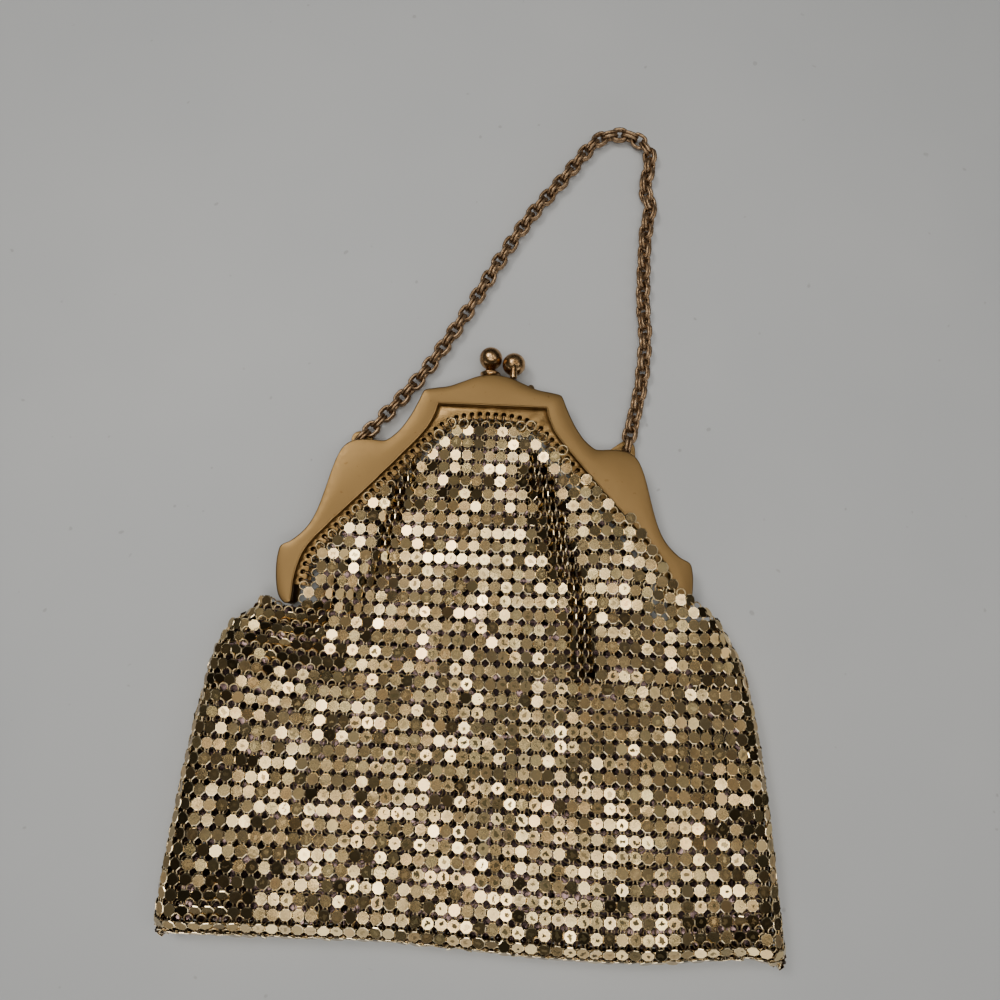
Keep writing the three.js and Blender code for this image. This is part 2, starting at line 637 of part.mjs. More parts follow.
// The part's origin is under the middle of the whole.
const bounds = new THREE.Box3().setFromObject(purse);
const middle = bounds.getCenter(new THREE.Vector3());
purse.position.set(-middle.x, -middle.y, -bounds.min.z);

export default purse;
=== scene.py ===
# %% [markdown]
# # A metal mesh purse, laid on its back
# The purse is a stamped gilt frame with a kiss lock, a pouch of ring mesh and a carry chain.
# The CAD frame gives every piece its place. This lesson dresses it: thousands of small
# plates and rings become the mesh, and real links become the chain.

# %% Load the CAD frame and let go of everything it selected
import math
import bpy
import numpy as np
from mathutils import Matrix, Vector


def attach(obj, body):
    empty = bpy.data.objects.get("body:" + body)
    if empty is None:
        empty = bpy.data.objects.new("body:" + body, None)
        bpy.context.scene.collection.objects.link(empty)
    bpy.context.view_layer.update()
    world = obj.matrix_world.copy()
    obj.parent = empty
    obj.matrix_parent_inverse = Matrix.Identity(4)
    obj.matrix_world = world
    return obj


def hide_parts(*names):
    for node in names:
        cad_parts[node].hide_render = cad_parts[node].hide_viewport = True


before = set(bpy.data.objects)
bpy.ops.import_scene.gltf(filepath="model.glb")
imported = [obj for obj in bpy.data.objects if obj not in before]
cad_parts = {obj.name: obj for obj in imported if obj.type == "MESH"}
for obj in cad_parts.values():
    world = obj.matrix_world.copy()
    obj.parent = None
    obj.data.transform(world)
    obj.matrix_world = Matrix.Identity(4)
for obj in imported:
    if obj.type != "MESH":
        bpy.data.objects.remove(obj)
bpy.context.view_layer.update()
bpy.ops.object.select_all(action="DESELECT")

# %% [markdown]
# The purse is measured in millimetres from the peak of its frame: x to the right, down towards
# the bottom of the pouch, and z up off the table. The CAD origin is in the middle of the whole,
# so one helper turns such a place into the frame's metres. The others do what every piece needs:
# select, edit, apply and name.

# %% Places and small helpers
MM = 0.001
SHIFT_X = -0.5034
SHIFT_Y = 35.4998
FRAME_WIDTH = 114.8
FRAME_DROP = 67.9
CLOSED_DEPTH = 9.4
HALF_FRAME = FRAME_WIDTH / 2
MID = CLOSED_DEPTH / 2
chance = np.random.RandomState(11)


def place(x, down, z):
    return Vector(((x + SHIFT_X) * MM, (SHIFT_Y - down) * MM, z * MM))


def smooth(t):
    u = np.clip(t, 0.0, 1.0)
    return u * u * (3 - 2 * u)


def table(columns, rows):
    """A dictionary for each row, under the names of the columns."""
    return [dict(zip(columns.split(), row)) for row in rows]


def only(*objects):
    """Selects just these objects and makes the last one active."""
    bpy.ops.object.select_all(action="DESELECT")
    for obj in objects:
        obj.select_set(True)
        bpy.context.view_layer.objects.active = obj


def edit_all():
    bpy.ops.object.mode_set(mode="EDIT")
    bpy.ops.mesh.select_all(action="SELECT")


def close_edit():
    """Turns all faces of the mesh being edited outwards and leaves edit mode."""
    bpy.ops.mesh.select_all(action="SELECT")
    bpy.ops.mesh.normals_make_consistent(inside=False)
    bpy.ops.object.mode_set(mode="OBJECT")


def extrude(x, y, z):
    bpy.ops.mesh.extrude_region_move(TRANSFORM_OT_translate={"value": (x, y, z)})


def apply_all():
    bpy.ops.object.transform_apply(location=True, rotation=True, scale=True)


def select_where(obj, test, kind="FACE"):
    """Edits the mesh with just the faces or vertices selected that pass a test of place and normal."""
    bpy.ops.object.mode_set(mode="EDIT")
    bpy.ops.mesh.select_mode(type=kind)
    bpy.ops.mesh.select_all(action="DESELECT")
    bpy.ops.object.mode_set(mode="OBJECT")
    for item in obj.data.polygons if kind == "FACE" else obj.data.vertices:
        centre = item.center if kind == "FACE" else item.co
        item.select = bool(test(centre, item.normal))
    bpy.ops.object.mode_set(mode="EDIT")


def settle(obj, name, smooth_under=None):
    """Names a finished piece, with its place kept in its mesh and its object at the origin."""
    only(obj)
    apply_all()
    if smooth_under:
        bpy.ops.object.shade_smooth_by_angle(angle=math.radians(smooth_under))
    obj.name = name
    obj.data.name = name
    obj.select_set(False)
    return obj


def facing_matrix(x_way, y_way, z_way):
    return Matrix((x_way, y_way, z_way)).transposed().to_4x4()


def triangles(obj):
    return sum(len(p.vertices) - 2 for p in obj.data.polygons)


print("peak of the frame at", place(0, 0, MID))

# %% [markdown]
# The camera comes first. The photograph was
# taken from about 22 cm above the purse, nearly straight down, with the camera turned by a
# few degrees. A lens of 27.7 mm on a 36 mm sensor gives its framing.

# %% Camera
CAMERA_PLACE = (0.00465, -0.0396, 0.2199)
LOOK_DOWN = math.radians(79.7)
LOOK_TURN = math.radians(2.6)
LENS = 27.72

bpy.ops.object.camera_add(location=CAMERA_PLACE)
camera = bpy.context.object
camera.name = "overhead_camera"
camera.data.lens = LENS
camera.data.sensor_width = 36
camera.data.clip_start = 0.01
right = Vector((math.cos(LOOK_TURN), math.sin(LOOK_TURN), 0))
ahead = Vector((-math.sin(LOOK_TURN), math.cos(LOOK_TURN), 0))
look = ahead * math.cos(LOOK_DOWN) - Vector((0, 0, math.sin(LOOK_DOWN)))
up = right.cross(look)
camera.matrix_world = Matrix.Translation(CAMERA_PLACE) @ facing_matrix(right, up, -look)
bpy.context.scene.camera = camera
print("camera looks along", [round(v, 3) for v in look])

# %% [markdown]
# The outline of the frame is a table: half of it, from the peak to the hinge tip. Each row pairs
# a point of the outer edge with the point of the beaded inner edge that faces it, as shares of
# the frame's half width and drop. The real frame is pressed from sheet, so its outline is a smooth
# curve, and a spline through the rows gives that.

# %% Outline of the frame
FRAME_ROWS = table("part outX outDown inX inDown", [
    ("peak", 0, 0, 0, 0.144),
    ("peak", 0.03, 0.002, 0.052, 0.144),
    ("peak", 0.087, 0.012, 0.105, 0.144),
    ("dip", 0.148, 0.034, 0.157, 0.144),
    ("dip", 0.221, 0.059, 0.209, 0.144),
    ("dip", 0.287, 0.069, 0.247, 0.144),
    ("shoulder", 0.336, 0.078, 0.266, 0.144),
    ("shoulder", 0.352, 0.094, 0.272, 0.159),
    ("sweep", 0.373, 0.138, 0.282, 0.191),
    ("sweep", 0.411, 0.205, 0.315, 0.25),
    ("sweep", 0.458, 0.264, 0.369, 0.309),
    ("notch", 0.509, 0.302, 0.425, 0.362),
    ("notch", 0.54, 0.308, 0.469, 0.405),
    ("ledge", 0.601, 0.305, 0.514, 0.446),
    ("ledge", 0.676, 0.312, 0.566, 0.495),
    ("bulge", 0.723, 0.339, 0.617, 0.542),
    ("bulge", 0.751, 0.383, 0.662, 0.582),
    ("arm", 0.775, 0.448, 0.704, 0.62),
    ("arm", 0.801, 0.536, 0.749, 0.66),
    ("arm", 0.829, 0.617, 0.787, 0.697),
    ("flare", 0.859, 0.672, 0.817, 0.725),
    ("flare", 0.897, 0.713, 0.84, 0.75),
    ("flare", 0.941, 0.745, 0.859, 0.775),
    ("corner", 0.986, 0.766, 0.876, 0.804),
    ("tip", 0.998, 0.803, 0.887, 0.834),
    ("tip", 1, 0.854, 0.897, 0.869),
    ("tip", 0.993, 0.913, 0.904, 0.913),
    ("tip", 0.977, 0.966, 0.905, 0.943),
    ("end", 0.951, 0.994, 0.907, 0.972),
    ("end", 0.931, 1, 0.909, 0.985),
])


def spline(points, steps):
    """A smooth line through the points, with some steps to each span."""
    p = np.array(points, float)
    p = np.vstack([2 * p[0] - p[1], p, 2 * p[-1] - p[-2]])
    line = []
    for i in range(1, len(p) - 2):
        for t in np.arange(steps) / steps:
            a, b, c, d = p[i - 1], p[i], p[i + 1], p[i + 2]
            line.append(0.5 * (2 * b + (c - a) * t + (2 * a - 5 * b + 4 * c - d) * t ** 2
                               + (3 * b - a - 3 * c + d) * t ** 3))
    line.append(p[-2])
    return np.array(line)


def both_halves(rows, columns):
    """The rows of one half as a whole line from left to right: columns of x change their sign."""
    signs = [-1 if c.lower().endswith("x") else 1 for c in columns]
    right = [[row[c] for c in columns] for row in rows]
    left = [[v * sign for v, sign in zip(row, signs)] for row in right[:0:-1]]
    return left + right


pairs = spline(both_halves(FRAME_ROWS, ["outX", "outDown", "inX", "inDown"]), 4)
pairs = pairs * [HALF_FRAME, FRAME_DROP, HALF_FRAME, FRAME_DROP]
print(len(pairs), "sections along the frame")

# %% [markdown]
# The cross-section of a plate starts at the outer edge with a small roll, rises to a low
# crown and ends at the inner edge with a raised bead beside a fine groove. A grid is added as a flat
# primitive, one row of it for each section of the frame, and its vertices are moved to the
# section. The seam is merged and the two ends are filled, so the plate is a closed piece of metal.

# %% Frame plates
EDGE_ROLL = 0.45
CROWN_RISE = 0.75
FLATNESS = 0.3
PLATE_GAUGE = 0.8
BEAD_RISE = 0.35
BEAD_WIDTH = 0.6
PARTING_GAP = 0.4
LUG_HOLES = [(-38.2, 19.5), (39.4, 18.9)]
LUG_HEAD = 2.5
LUG_LEVEL = 1.85


def plate_section(width):
    """Points (distance from the outer edge, height above the parting line), all the way round."""
    rise = MID - BEAD_RISE
    crown = min(CROWN_RISE, width * 0.1) * FLATNESS
    edge = rise - crown - CROWN_RISE * (1 - FLATNESS)
    roll = min(EDGE_ROLL, width * 0.25)
    bead = min(BEAD_WIDTH, width * 0.2)
    groove = width - bead - roll * 0.45
    inside = edge - PLATE_GAUGE * 0.6
    foot = PARTING_GAP / 2
    around = [(0, foot), (0, edge - roll * 1.15)]
    for a in np.radians([18, 36, 54, 72, 90]):
        around.append((roll * (1 - math.cos(a)), edge - roll * (1 - math.sin(a))))
    for f in (0.15, 0.3, 0.5, 0.7, 0.85):
        height = crown * (1 - (2 * f - 1) ** 2) * 0.95
        around.append((roll + (groove - roll) * f, edge + height))
    around += [(groove, edge + crown * 0.2), (width - bead * 1.02, edge + crown * 0.1)]
    around += [(width - bead * 0.9, MID - 0.08), (width - bead * 0.62, MID)]
    around += [(width - bead * 0.3, MID - 0.02), (width, MID - bead * 0.5)]
    around += [(width, inside), (width - bead * 1.6, inside)]
    around += [(width * 0.5, rise - PLATE_GAUGE), (PLATE_GAUGE, edge - PLATE_GAUGE * 1.2)]
    around += [(min(PLATE_GAUGE, width * 0.3), foot)]
    return around


def swept_grid(rings):
    """A grid primitive with a row for each ring, rolled up along them and closed at both ends."""
    rings = np.array(rings)
    bpy.ops.mesh.primitive_grid_add(x_subdivisions=rings.shape[1], y_subdivisions=len(rings) - 1)
    obj = bpy.context.object
    closed = np.concatenate([rings, rings[:, :1]], axis=1).reshape(-1, 3)
    obj.data.vertices.foreach_set("co", closed.ravel())
    obj.data.update()
    edit_all()
    bpy.ops.mesh.remove_doubles(threshold=1e-6)
    bpy.ops.mesh.select_all(action="DESELECT")
    bpy.ops.mesh.select_non_manifold()
    bpy.ops.mesh.edge_face_add()
    close_edit()
    return obj


def frame_plate(name, side):
    rings = []
    for out_x, out_down, in_x, in_down in pairs:
        run = np.array([in_x - out_x, in_down - out_down])
        width = float(np.hypot(*run))
        run = run / width
        ring = []
        for s, h in plate_section(width):
            ring.append(place(out_x + run[0] * s, out_down + run[1] * s, MID + side * h))
        rings.append(ring)
    obj = settle(swept_grid(rings), name, 38)
    print(name, triangles(obj), "triangles")
    return obj


front_plate = frame_plate("front_plate_of_frame", 1)
back_plate = frame_plate("back_plate_of_frame", -1)

# %% [markdown]
# Each side of the mouth has a strip, pierced with a line of round holes, that holds the mesh. Each
# hole opens through a narrow slot to the strip's lower edge, so the outline is one closed line
# that goes round every hole. A flat curve fills it, and a small depth and bevel give the strip its
# thickness and its soft punched edges.

# %% Perforated strips
HOLE_LINE = table("x down", [
    (0, 0.173), (0.06, 0.174), (0.122, 0.18), (0.165, 0.189), (0.203, 0.201), (0.237, 0.218),
    (0.267, 0.24), (0.296, 0.265), (0.35, 0.315), (0.449, 0.411), (0.547, 0.502), (0.643, 0.591),
    (0.733, 0.675), (0.797, 0.736), (0.838, 0.785), (0.861, 0.83), (0.873, 0.875), (0.878, 0.92),
])
HOLES = 66
HOLE_ACROSS = 1.42
STRIP_MARGIN = 1.45
STRIP_GAUGE = 0.6
STRIP_TOP = 7.52
STRIP_TUCK = 0.75
SLOT = 0.62
EDGE_SOFT = 0.05


def run_along(line):
    """The length of a line of (x, down) up to each of its points."""
    return np.concatenate([[0], np.cumsum(np.hypot(*np.diff(line, axis=0).T))])


def points_at(line, run, at):
    return np.stack([np.interp(at, run, line[:, k]) for k in range(2)], axis=-1)


def along(line, count):
    """Evenly spaced points, and the directions, along a line."""
    run = run_along(line)
    at = (np.arange(count) + 0.5) / count * run[-1]
    way = points_at(line, run, at + 0.2) - points_at(line, run, at - 0.2)
    return points_at(line, run, at), way / np.hypot(*way.T)[:, None]


def moved_aside(line, distance):
    """The line moved by a distance towards the pouch, or away from it where that is negative."""
    line = np.array(line)
    way = np.gradient(line, axis=0)
    way /= np.hypot(*way.T)[:, None]
    return line + np.stack([-way[:, 1], way[:, 0]], axis=1) * np.reshape(distance, (-1, 1))


hole_line = spline(both_halves(HOLE_LINE, ["x", "down"]), 4) * [HALF_FRAME, FRAME_DROP]
hole_places, hole_ways = along(hole_line, HOLES)
inner_line = pairs[:, 2:]
tucked = moved_aside(inner_line, -STRIP_TUCK)
tucked = tucked[tucked[:, 1] < hole_line[-1, 1] + STRIP_MARGIN * 0.4]


def keyhole(centre, way):
    """Half a tab, the slot, once round the hole and out of the slot again, from right to left."""
    radius, half = HOLE_ACROSS / 2, SLOT / 2
    side = np.array([-way[1], way[0]])
    begin = math.acos(half / radius)
    turns = np.linspace(begin, begin - 2 * (math.pi / 2 + begin), 15)
    local = [(half + 0.3, STRIP_MARGIN), (half + 0.05, STRIP_MARGIN - 0.22)]
    local += [(radius * math.cos(a), radius * math.sin(a)) for a in turns]
    local += [(-half - 0.05, STRIP_MARGIN - 0.22), (-half - 0.3, STRIP_MARGIN)]
    return [centre + way * u + side * v for u, v in local]


lower_edge = []
for centre, way in zip(hole_places[::-1], hole_ways[::-1]):
    lower_edge += keyhole(centre, way)
lower_ends = moved_aside(hole_line, STRIP_MARGIN)[[-1, 0]]
strip_outline = np.concatenate([tucked, lower_ends[:1], lower_edge, lower_ends[1:]])
print(len(strip_outline), "points round a strip of", HOLES, "holes")


def flat_sheet(name, loops, low, gauge, soften):
    """A flat curve of closed loops, (x, down) in mm, made a sheet from low up, gauge thick."""
    curve = bpy.data.curves.new(name, "CURVE")
    curve.dimensions = "2D"
    curve.fill_mode = "BOTH"
    curve.extrude = (gauge / 2 - soften) * MM
    curve.bevel_depth = soften * MM
    curve.bevel_resolution = 1
    curve.offset = -soften * MM
    for loop in loops:
        path = curve.splines.new("POLY")
        path.points.add(len(loop) - 1)
        path.use_cyclic_u = True
        for point, (x, down) in zip(path.points, loop):
            point.co = (*place(x, down, 0), 1)
    obj = bpy.data.objects.new(name, curve)
    bpy.context.collection.objects.link(obj)
    obj.location.z = (low + gauge / 2) * MM
    only(obj)
    bpy.ops.object.convert(target="MESH")
    edit_all()
    bpy.ops.mesh.remove_doubles(threshold=2e-6)
    close_edit()
    return settle(bpy.context.object, name, 35)


def ring_of(x, down, radius, sides):
    turn = np.arange(sides) / sides * 2 * math.pi
    return np.stack([x + radius * np.cos(turn), down + radius * np.sin(turn)], axis=1)


def strip(name, low):
    return flat_sheet(name, [strip_outline], low, STRIP_GAUGE, EDGE_SOFT)


front_strip = strip("front_strip_of_holes", STRIP_TOP - STRIP_GAUGE)
back_strip = strip("back_strip_of_holes", CLOSED_DEPTH - STRIP_TOP)
print("a strip has", triangles(front_strip), "triangles")

# %% [markdown]
# The pouch is a loose bag, so its surface is worked out and not drawn: a table gives its
# outline and thickness at some levels, and short tables give its folds. The mesh has 102 columns
# of plates all round. Where a fold squeezes the columns together the plates turn on edge like
# the slats of a blind, which is how ring mesh folds.

# %% Tables of the pouch
POUCH_WIDTH = 160.6
POUCH_DROP = 155.3
POUCH_DEPTH = 12.6
HALF_POUCH = POUCH_WIDTH / 2
FLAT_END = 147.4
BOTTOM_REACH = 5.2
BOTTOM_TURN = 5.3
OFF_TABLE = 0.7
HINGE_DOWN = FRAME_DROP + 0.3
RIGHT_START = 57.0
GATHER = HALF_FRAME * 0.86
COLUMNS = 102
MOST_CROWDED = 0.8
QUARTER = COLUMNS / 4
ROW_PITCH = 3.67
FIRST_ROW = 17.1
LAST_ROW = 38
LOOSE_PITCH = 3.1
BACK_ASIDE = 1.6
BACK_LOWER = 1.8

SECTIONS = table("down left right topLeft topMid topRight", [
    (0.07, 0.72, 0.71, 0.66, 0.67, 0.7),
    (0.16, 0.72, 0.71, 0.66, 0.7, 0.93),
    (0.26, 0.72, 0.715, 0.66, 0.74, 0.93),
    (0.36, 0.72, 0.72, 0.68, 0.8, 0.93),
    (0.397, 0.73, 0.747, 0.69, 0.83, 0.93),
    (0.431, 0.75, 0.8, 0.7, 0.86, 0.93),
    (0.451, 0.801, 0.824, 0.74, 0.87, 0.93),
    (0.474, 0.858, 0.848, 0.79, 0.89, 0.93),
    (0.506, 0.892, 0.882, 0.85, 0.92, 0.93),
    (0.541, 0.911, 0.902, 0.9, 0.95, 0.94),
    (0.592, 0.924, 0.922, 0.95, 0.98, 0.96),
    (0.644, 0.94, 0.94, 0.98, 1, 0.98),
    (0.728, 0.959, 0.961, 1, 1, 1),
    (0.818, 0.976, 0.981, 0.99, 0.99, 0.99),
    (0.901, 0.99, 0.995, 0.97, 0.98, 0.98),
    (0.96, 0.993, 1.007, 0.95, 0.97, 0.97),
    (1, 0.965, 0.99, 0.94, 0.96, 0.96),
])

# A fold runs from one point to another. Sink is how far the sheet drops there, squeeze how many
# columns are packed into it, and face is the side its plates turn to, -1 left and 1 right.
FOLDS = table("name x0 down0 x1 down1 sink width squeeze face", [
    ("left_furrow", -0.255, 0.16, -0.349, 0.355, 0.08, 0.03, 0.9, 1),
    ("left_tail", -0.349, 0.355, -0.44, 0.46, 0.06, 0.04, 0.4, 1),
    ("left_crease", -0.47, 0.33, -0.55, 0.5, 0.04, 0.04, 0.2, 1),
    ("left_hollow", -0.95, 0.5, -0.52, 0.56, 0.13, 0.1, 0, 0),
    ("right_furrow", 0.14, 0.155, 0.3, 0.404, 0.09, 0.034, 1.45, -1),
    ("right_tail", 0.3, 0.404, 0.36, 0.56, 0.05, 0.04, 0.6, -1),
    ("middle_ridge", 0.0, 0.25, 0.02, 0.7, -0.05, 0.09, 0, 0),
])

# How far rows are lifted towards the frame round a point of the front sheet, in mm.
SWAYS = table("name x down wide tall lift", [
    ("left_shoulder", -0.86, 0.53, 0.2, 0.11, 2.4),
    ("past_right_furrow", 0.44, 0.27, 0.2, 0.15, 2.1),
    ("right_arm_edge", 0.66, 0.37, 0.09, 0.09, -1.5),
])

# Where plates lean out of the sheet, in degrees: below zero is towards the bottom.
LEANS = table("name x down wide tall lean turn", [
    ("left_hollow", -0.69, 0.53, 0.22, 0.09, -25, 3),
    ("hollow_top", -0.58, 0.458, 0.14, 0.05, -20, 10),
    ("bottom_left_dip", -0.8, 0.93, 0.1, 0.037, -23, 5),
    ("bottom_right_dip", 0.8, 0.94, 0.16, 0.03, -14, -4),
    ("bottom_hem", -0.85, 0.962, 0.35, 0.012, -12, 0),
    ("bottom_hem_middle", 0.3, 0.965, 0.62, 0.012, -6, 0),
    ("right_side", 0.62, 0.6, 0.2, 0.12, 0, 4),
    ("upper_flank", 0.3, 0.48, 0.08, 0.1, 0, -9),
])

# How far the bottom edge hangs below its mean line.
HEM = table("x drop", [
    (-0.92, -0.2), (-0.53, -0.5), (-0.27, -0.8), (0.05, 0.5), (0.2, 1.2), (0.42, 1.7), (0.58, 1.4),
    (0.75, 0.1), (0.89, -0.9), (0.97, 0.2),
])
print(len(SECTIONS), "sections,", len(FOLDS), "folds,", len(SWAYS), "sways and", len(LEANS), "leans")

# %% [markdown]
# One function turns a column and a row into a point of the sheet. Along a row, the plates are counted
# off from the middle: one for each pitch, more where a fold squeezes them. Columns that are left
# over are gathered at the side, all of them on the back but only part of one on the front, where
# the others have slipped under the edge. Down a column, the rows are 3.67 mm apart and roll under
# at the bottom, where the front and back sheets meet.

# %% The sheet as a function of column and row
section_downs = np.array([row["down"] for row in SECTIONS]) * POUCH_DROP


def section(down, column):
    """A column of the sections' table at a down in mm."""
    return float(np.interp(down, section_downs, [row[column] for row in SECTIONS]))


def fold_distance(fold, x, down):
    """Distance from a fold's line in mm, and how far along it the nearest point is."""
    a = np.array([fold["x0"] * HALF_POUCH, fold["down0"] * POUCH_DROP])
    run = np.array([fold["x1"] * HALF_POUCH, fold["down1"] * POUCH_DROP]) - a
    dx, dy = x - a[0], down - a[1]
    t = np.clip((dx * run[0] + dy * run[1]) / run.dot(run), 0, 1)
    return np.hypot(dx - run[0] * t, dy - run[1] * t), t


def front_level(side, wide, x, down):
    toward = section(down, "topLeft" if side < 0 else "topRight")
    middle = section(down, "topMid")
    share = np.clip(np.abs(x) / wide, 0, 1)
    level = (middle + (toward - middle) * smooth(share * 1.5)) * POUCH_DEPTH
    fade = smooth((POUCH_DROP - down) / 18) * smooth((1 - share) * 8)
    sink = 0
    for fold in FOLDS:
        away = fold_distance(fold, x, down)[0] / (fold["width"] * HALF_POUCH)
        sink = sink + fold["sink"] * np.exp(-away ** 2)
    return level - sink * POUCH_DEPTH * fade


def pitch_at(down):
    """The spacing of the columns, a little tighter half way down."""
    return float(np.interp(down, [20, 60, 75, 94, 113, 140], [3.23, 3.1, 3.08, 3.14, 3.18, 3.24]))


def looked_up(rows, key, column, at):
    return float(np.interp(at, [row[key] for row in rows], [row[column] for row in rows]))


def lift_at(x, down):
    """How far the front sheet is pulled up, or hangs down, at a point."""
    lift = 0.0
    for sway in SWAYS:
        dx = (x / HALF_POUCH - sway["x"]) / sway["wide"]
        dy = (down / POUCH_DROP - sway["down"]) / sway["tall"]
        lift += sway["lift"] * math.exp(-dx * dx - dy * dy)
    return lift


def hem_at(x, down):
    """How far both sheets hang below the mean line near the bottom edge."""
    drop = looked_up(HEM, "x", "drop", x / HALF_POUCH)
    return drop * float(smooth((down - 0.72 * POUCH_DROP) / (0.26 * POUCH_DROP)))


def summed(amount, s):
    """The running total of an amount along s."""
    return np.concatenate([[0], np.cumsum((amount[1:] + amount[:-1]) / 2 * np.diff(s))])


def row_shape(t, side, back):
    """How one row lies on one side of one sheet: x, z and column count along it."""
    run = FIRST_ROW + ROW_PITCH * t
    angle = min(max(0.0, run - FLAT_END) / BOTTOM_TURN, math.radians(105))
    down = min(run, FLAT_END) + BOTTOM_REACH * math.sin(angle)
    pinch = math.cos(angle)
    key = "topLeft" if side < 0 else "topRight"
    start = HINGE_DOWN if side < 0 or back else RIGHT_START
    low = max(down - (0 if back else lift_at(side * 0.88 * HALF_POUCH, down)), start)
    radius = section(low, key) * POUCH_DEPTH / 2
    wide = section(low, "left" if side < 0 else "right") * HALF_POUCH - radius
    reach = wide + radius * math.pi / 2
    s = np.linspace(0, reach, 260)
    x = side * np.minimum(s, wide)
    density = np.full_like(s, 1 / pitch_at(down))
    facing = np.zeros_like(s)
    if not back:
        for fold in FOLDS:
            if fold["squeeze"]:
                away, place_on = fold_distance(fold, x, down)
                ends = smooth(np.minimum(place_on, 1 - place_on) * 5 + 0.25)
                bump = np.exp(-(away / (fold["width"] * HALF_POUCH)) ** 2) * ends
                bump = bump * fold["squeeze"] / (fold["width"] * HALF_POUCH * math.sqrt(math.pi))
                density = density + bump
                facing = facing + bump * fold["face"]
    count = summed(density, s)
    gathered = summed(np.exp(-((s - reach + 4) / 6) ** 2), s)
    crowd = min(QUARTER - count[-1], COLUMNS if back else MOST_CROWDED)
    count = count + crowd * gathered / gathered[-1]
    level = front_level(side, max(wide, GATHER) if down >= start else GATHER, x, down)
    face = -1 if back else 1
    z = level * (0.5 + 0.5 * face * pinch)
    turn = np.clip((s - wide) / radius, 0, math.pi / 2)
    x = x + side * radius * np.sin(turn)
    round_z = radius * (1 + face * pinch * np.cos(turn))
    blend_in = smooth((s - wide + 3) / 3)
    z = z * (1 - blend_in) + round_z * blend_in
    z = OFF_TABLE + z * (1 - OFF_TABLE / POUCH_DEPTH)
    return {"s": s, "x": x, "z": z, "count": count, "down": down, "facing": facing}


def wrapped(column):
    return (column + COLUMNS / 2) % COLUMNS - COLUMNS / 2


row_cache = {}


def row_at(column, t):
    """The shape of the row there, how far along it the column is, and whether that is the back."""
    column = wrapped(column)
    back = abs(column) > QUARTER
    key = (round(t * 4) / 4, -1 if column < 0 else 1, back)
    if key not in row_cache:
        row_cache[key] = row_shape(*key)
    return row_cache[key], COLUMNS / 2 - abs(column) if back else abs(column), back


def sheet_point(column, t):
    """Place on the sheet in mm as (x, -down, z) for any column and row, whole or between."""
    row, counted, back = row_at(column, t)
    x = float(np.interp(counted, row["count"], row["x"]))
    z = float(np.interp(counted, row["count"], row["z"]))
    lift = -hem_at(x, row["down"]) + (0 if back else lift_at(x, row["down"]))
    if back:
        # the back sheet lies half a pitch aside, so that its plates show through the front's gaps
        inner = float(smooth((QUARTER - 1.5 - counted) / 3) * smooth((LAST_ROW - 2 - t) / 3))
        x += BACK_ASIDE * inner
        lift -= BACK_LOWER * inner
    return Vector((x, lift - row["down"], z))


def reaches(column, t):
    """Whether that row is wide enough to show that column."""
    row, counted, back = row_at(column, t)
    return counted <= row["count"][-1] + 0.1


def facing_at(column, t):
    """Which way a fold turns the plates there, and how strongly."""
    row, counted, back = row_at(column, t)
    return float(np.interp(counted, row["count"], row["facing"]))


for t in (0, 12, 24, 36):
    pitch = (sheet_point(3, t) - sheet_point(2, t)).x
    print("row", t, "half width", round(sheet_point(25, t).x, 1), "pitch", round(pitch, 2))

# %% [markdown]
# The mesh hangs below the line of holes, and on the right the front sheet has slid up over the
# frame. One function says how high the plates of each sheet may start, and three more say from it
# which plates and rings there are.

# %% Edge of the mouth
BELOW_HOLES = 2.75
LEFT_RISE = 3.4
TOP_WIDTH = 21
LAPPED_EDGE = table("x down", [
    (23.0, 26.8), (28.2, 29.8), (31.0, 32.4), (35.0, 36.2), (38.4, 39.7), (42.0, 42.9),
    (45.7, 46.7), (49.0, 50.8), (52.3, 56.8), (56.1, 61.2), (60.0, 63.5), (64.0, 67.5),
])
below_holes = moved_aside(hole_line, BELOW_HOLES)


def mouth_edge(x, back):
    """The down of the highest plate at that x."""
    if x > LAPPED_EDGE[0]["x"] and not back:
        return looked_up(LAPPED_EDGE, "x", "down", x)
    if x < -HALF_FRAME + 1.0 and not back:
        return HINGE_DOWN - LEFT_RISE
    if abs(x) > below_holes[-1, 0]:
        return HINGE_DOWN + 0.2
    return float(np.interp(x, below_holes[:, 0], below_holes[:, 1]))


def kept(column, t):
    """Plates start at the mouth's edge, and the back has one row less at the bottom."""
    point = sheet_point(column, t)
    back = abs(column) > QUARTER
    if back and t == LAST_ROW or not reaches(column, t):
        return False
    return -point.y >= mouth_edge(point.x, back)


def ring_kept(column, t):
    """No ring hangs out past the lapped edge or over the hinges, nor twice at the seam."""
    point = sheet_point(column, t)
    back = abs(column) > QUARTER
    if back and t > LAST_ROW - 1 or not reaches(column, t):
        return False
    if point.x < -HALF_FRAME:
        return -point.y >= HINGE_DOWN - 1.2
    if point.x > LAPPED_EDGE[0]["x"] or point.x < -HALF_FRAME * 0.86:
        return -point.y >= mouth_edge(point.x, back) + 0.7
    return True


def at_the_top(column, t):
    """The rings of the first row stand out in front of the plates, in the middle of the frame."""
    point = sheet_point(column, t)
    return abs(column) < QUARTER and abs(point.x) < TOP_WIDTH and -point.y < mouth_edge(point.x, False)


print("mouth edge at the middle", round(mouth_edge(0, False), 1), "mm down")

# %% [markdown]
# One plate of the mesh is an octagon with a softened rim, stamped from thin sheet. Four arms at
# its corners fold down over the rings. It is modelled once, from a circle of eight vertices that
# is extruded and bevelled and a small bar with its end turned down. Its few faces matter, since
# there are over three thousand plates. The back's plates are simpler: no bevel and flat arms.

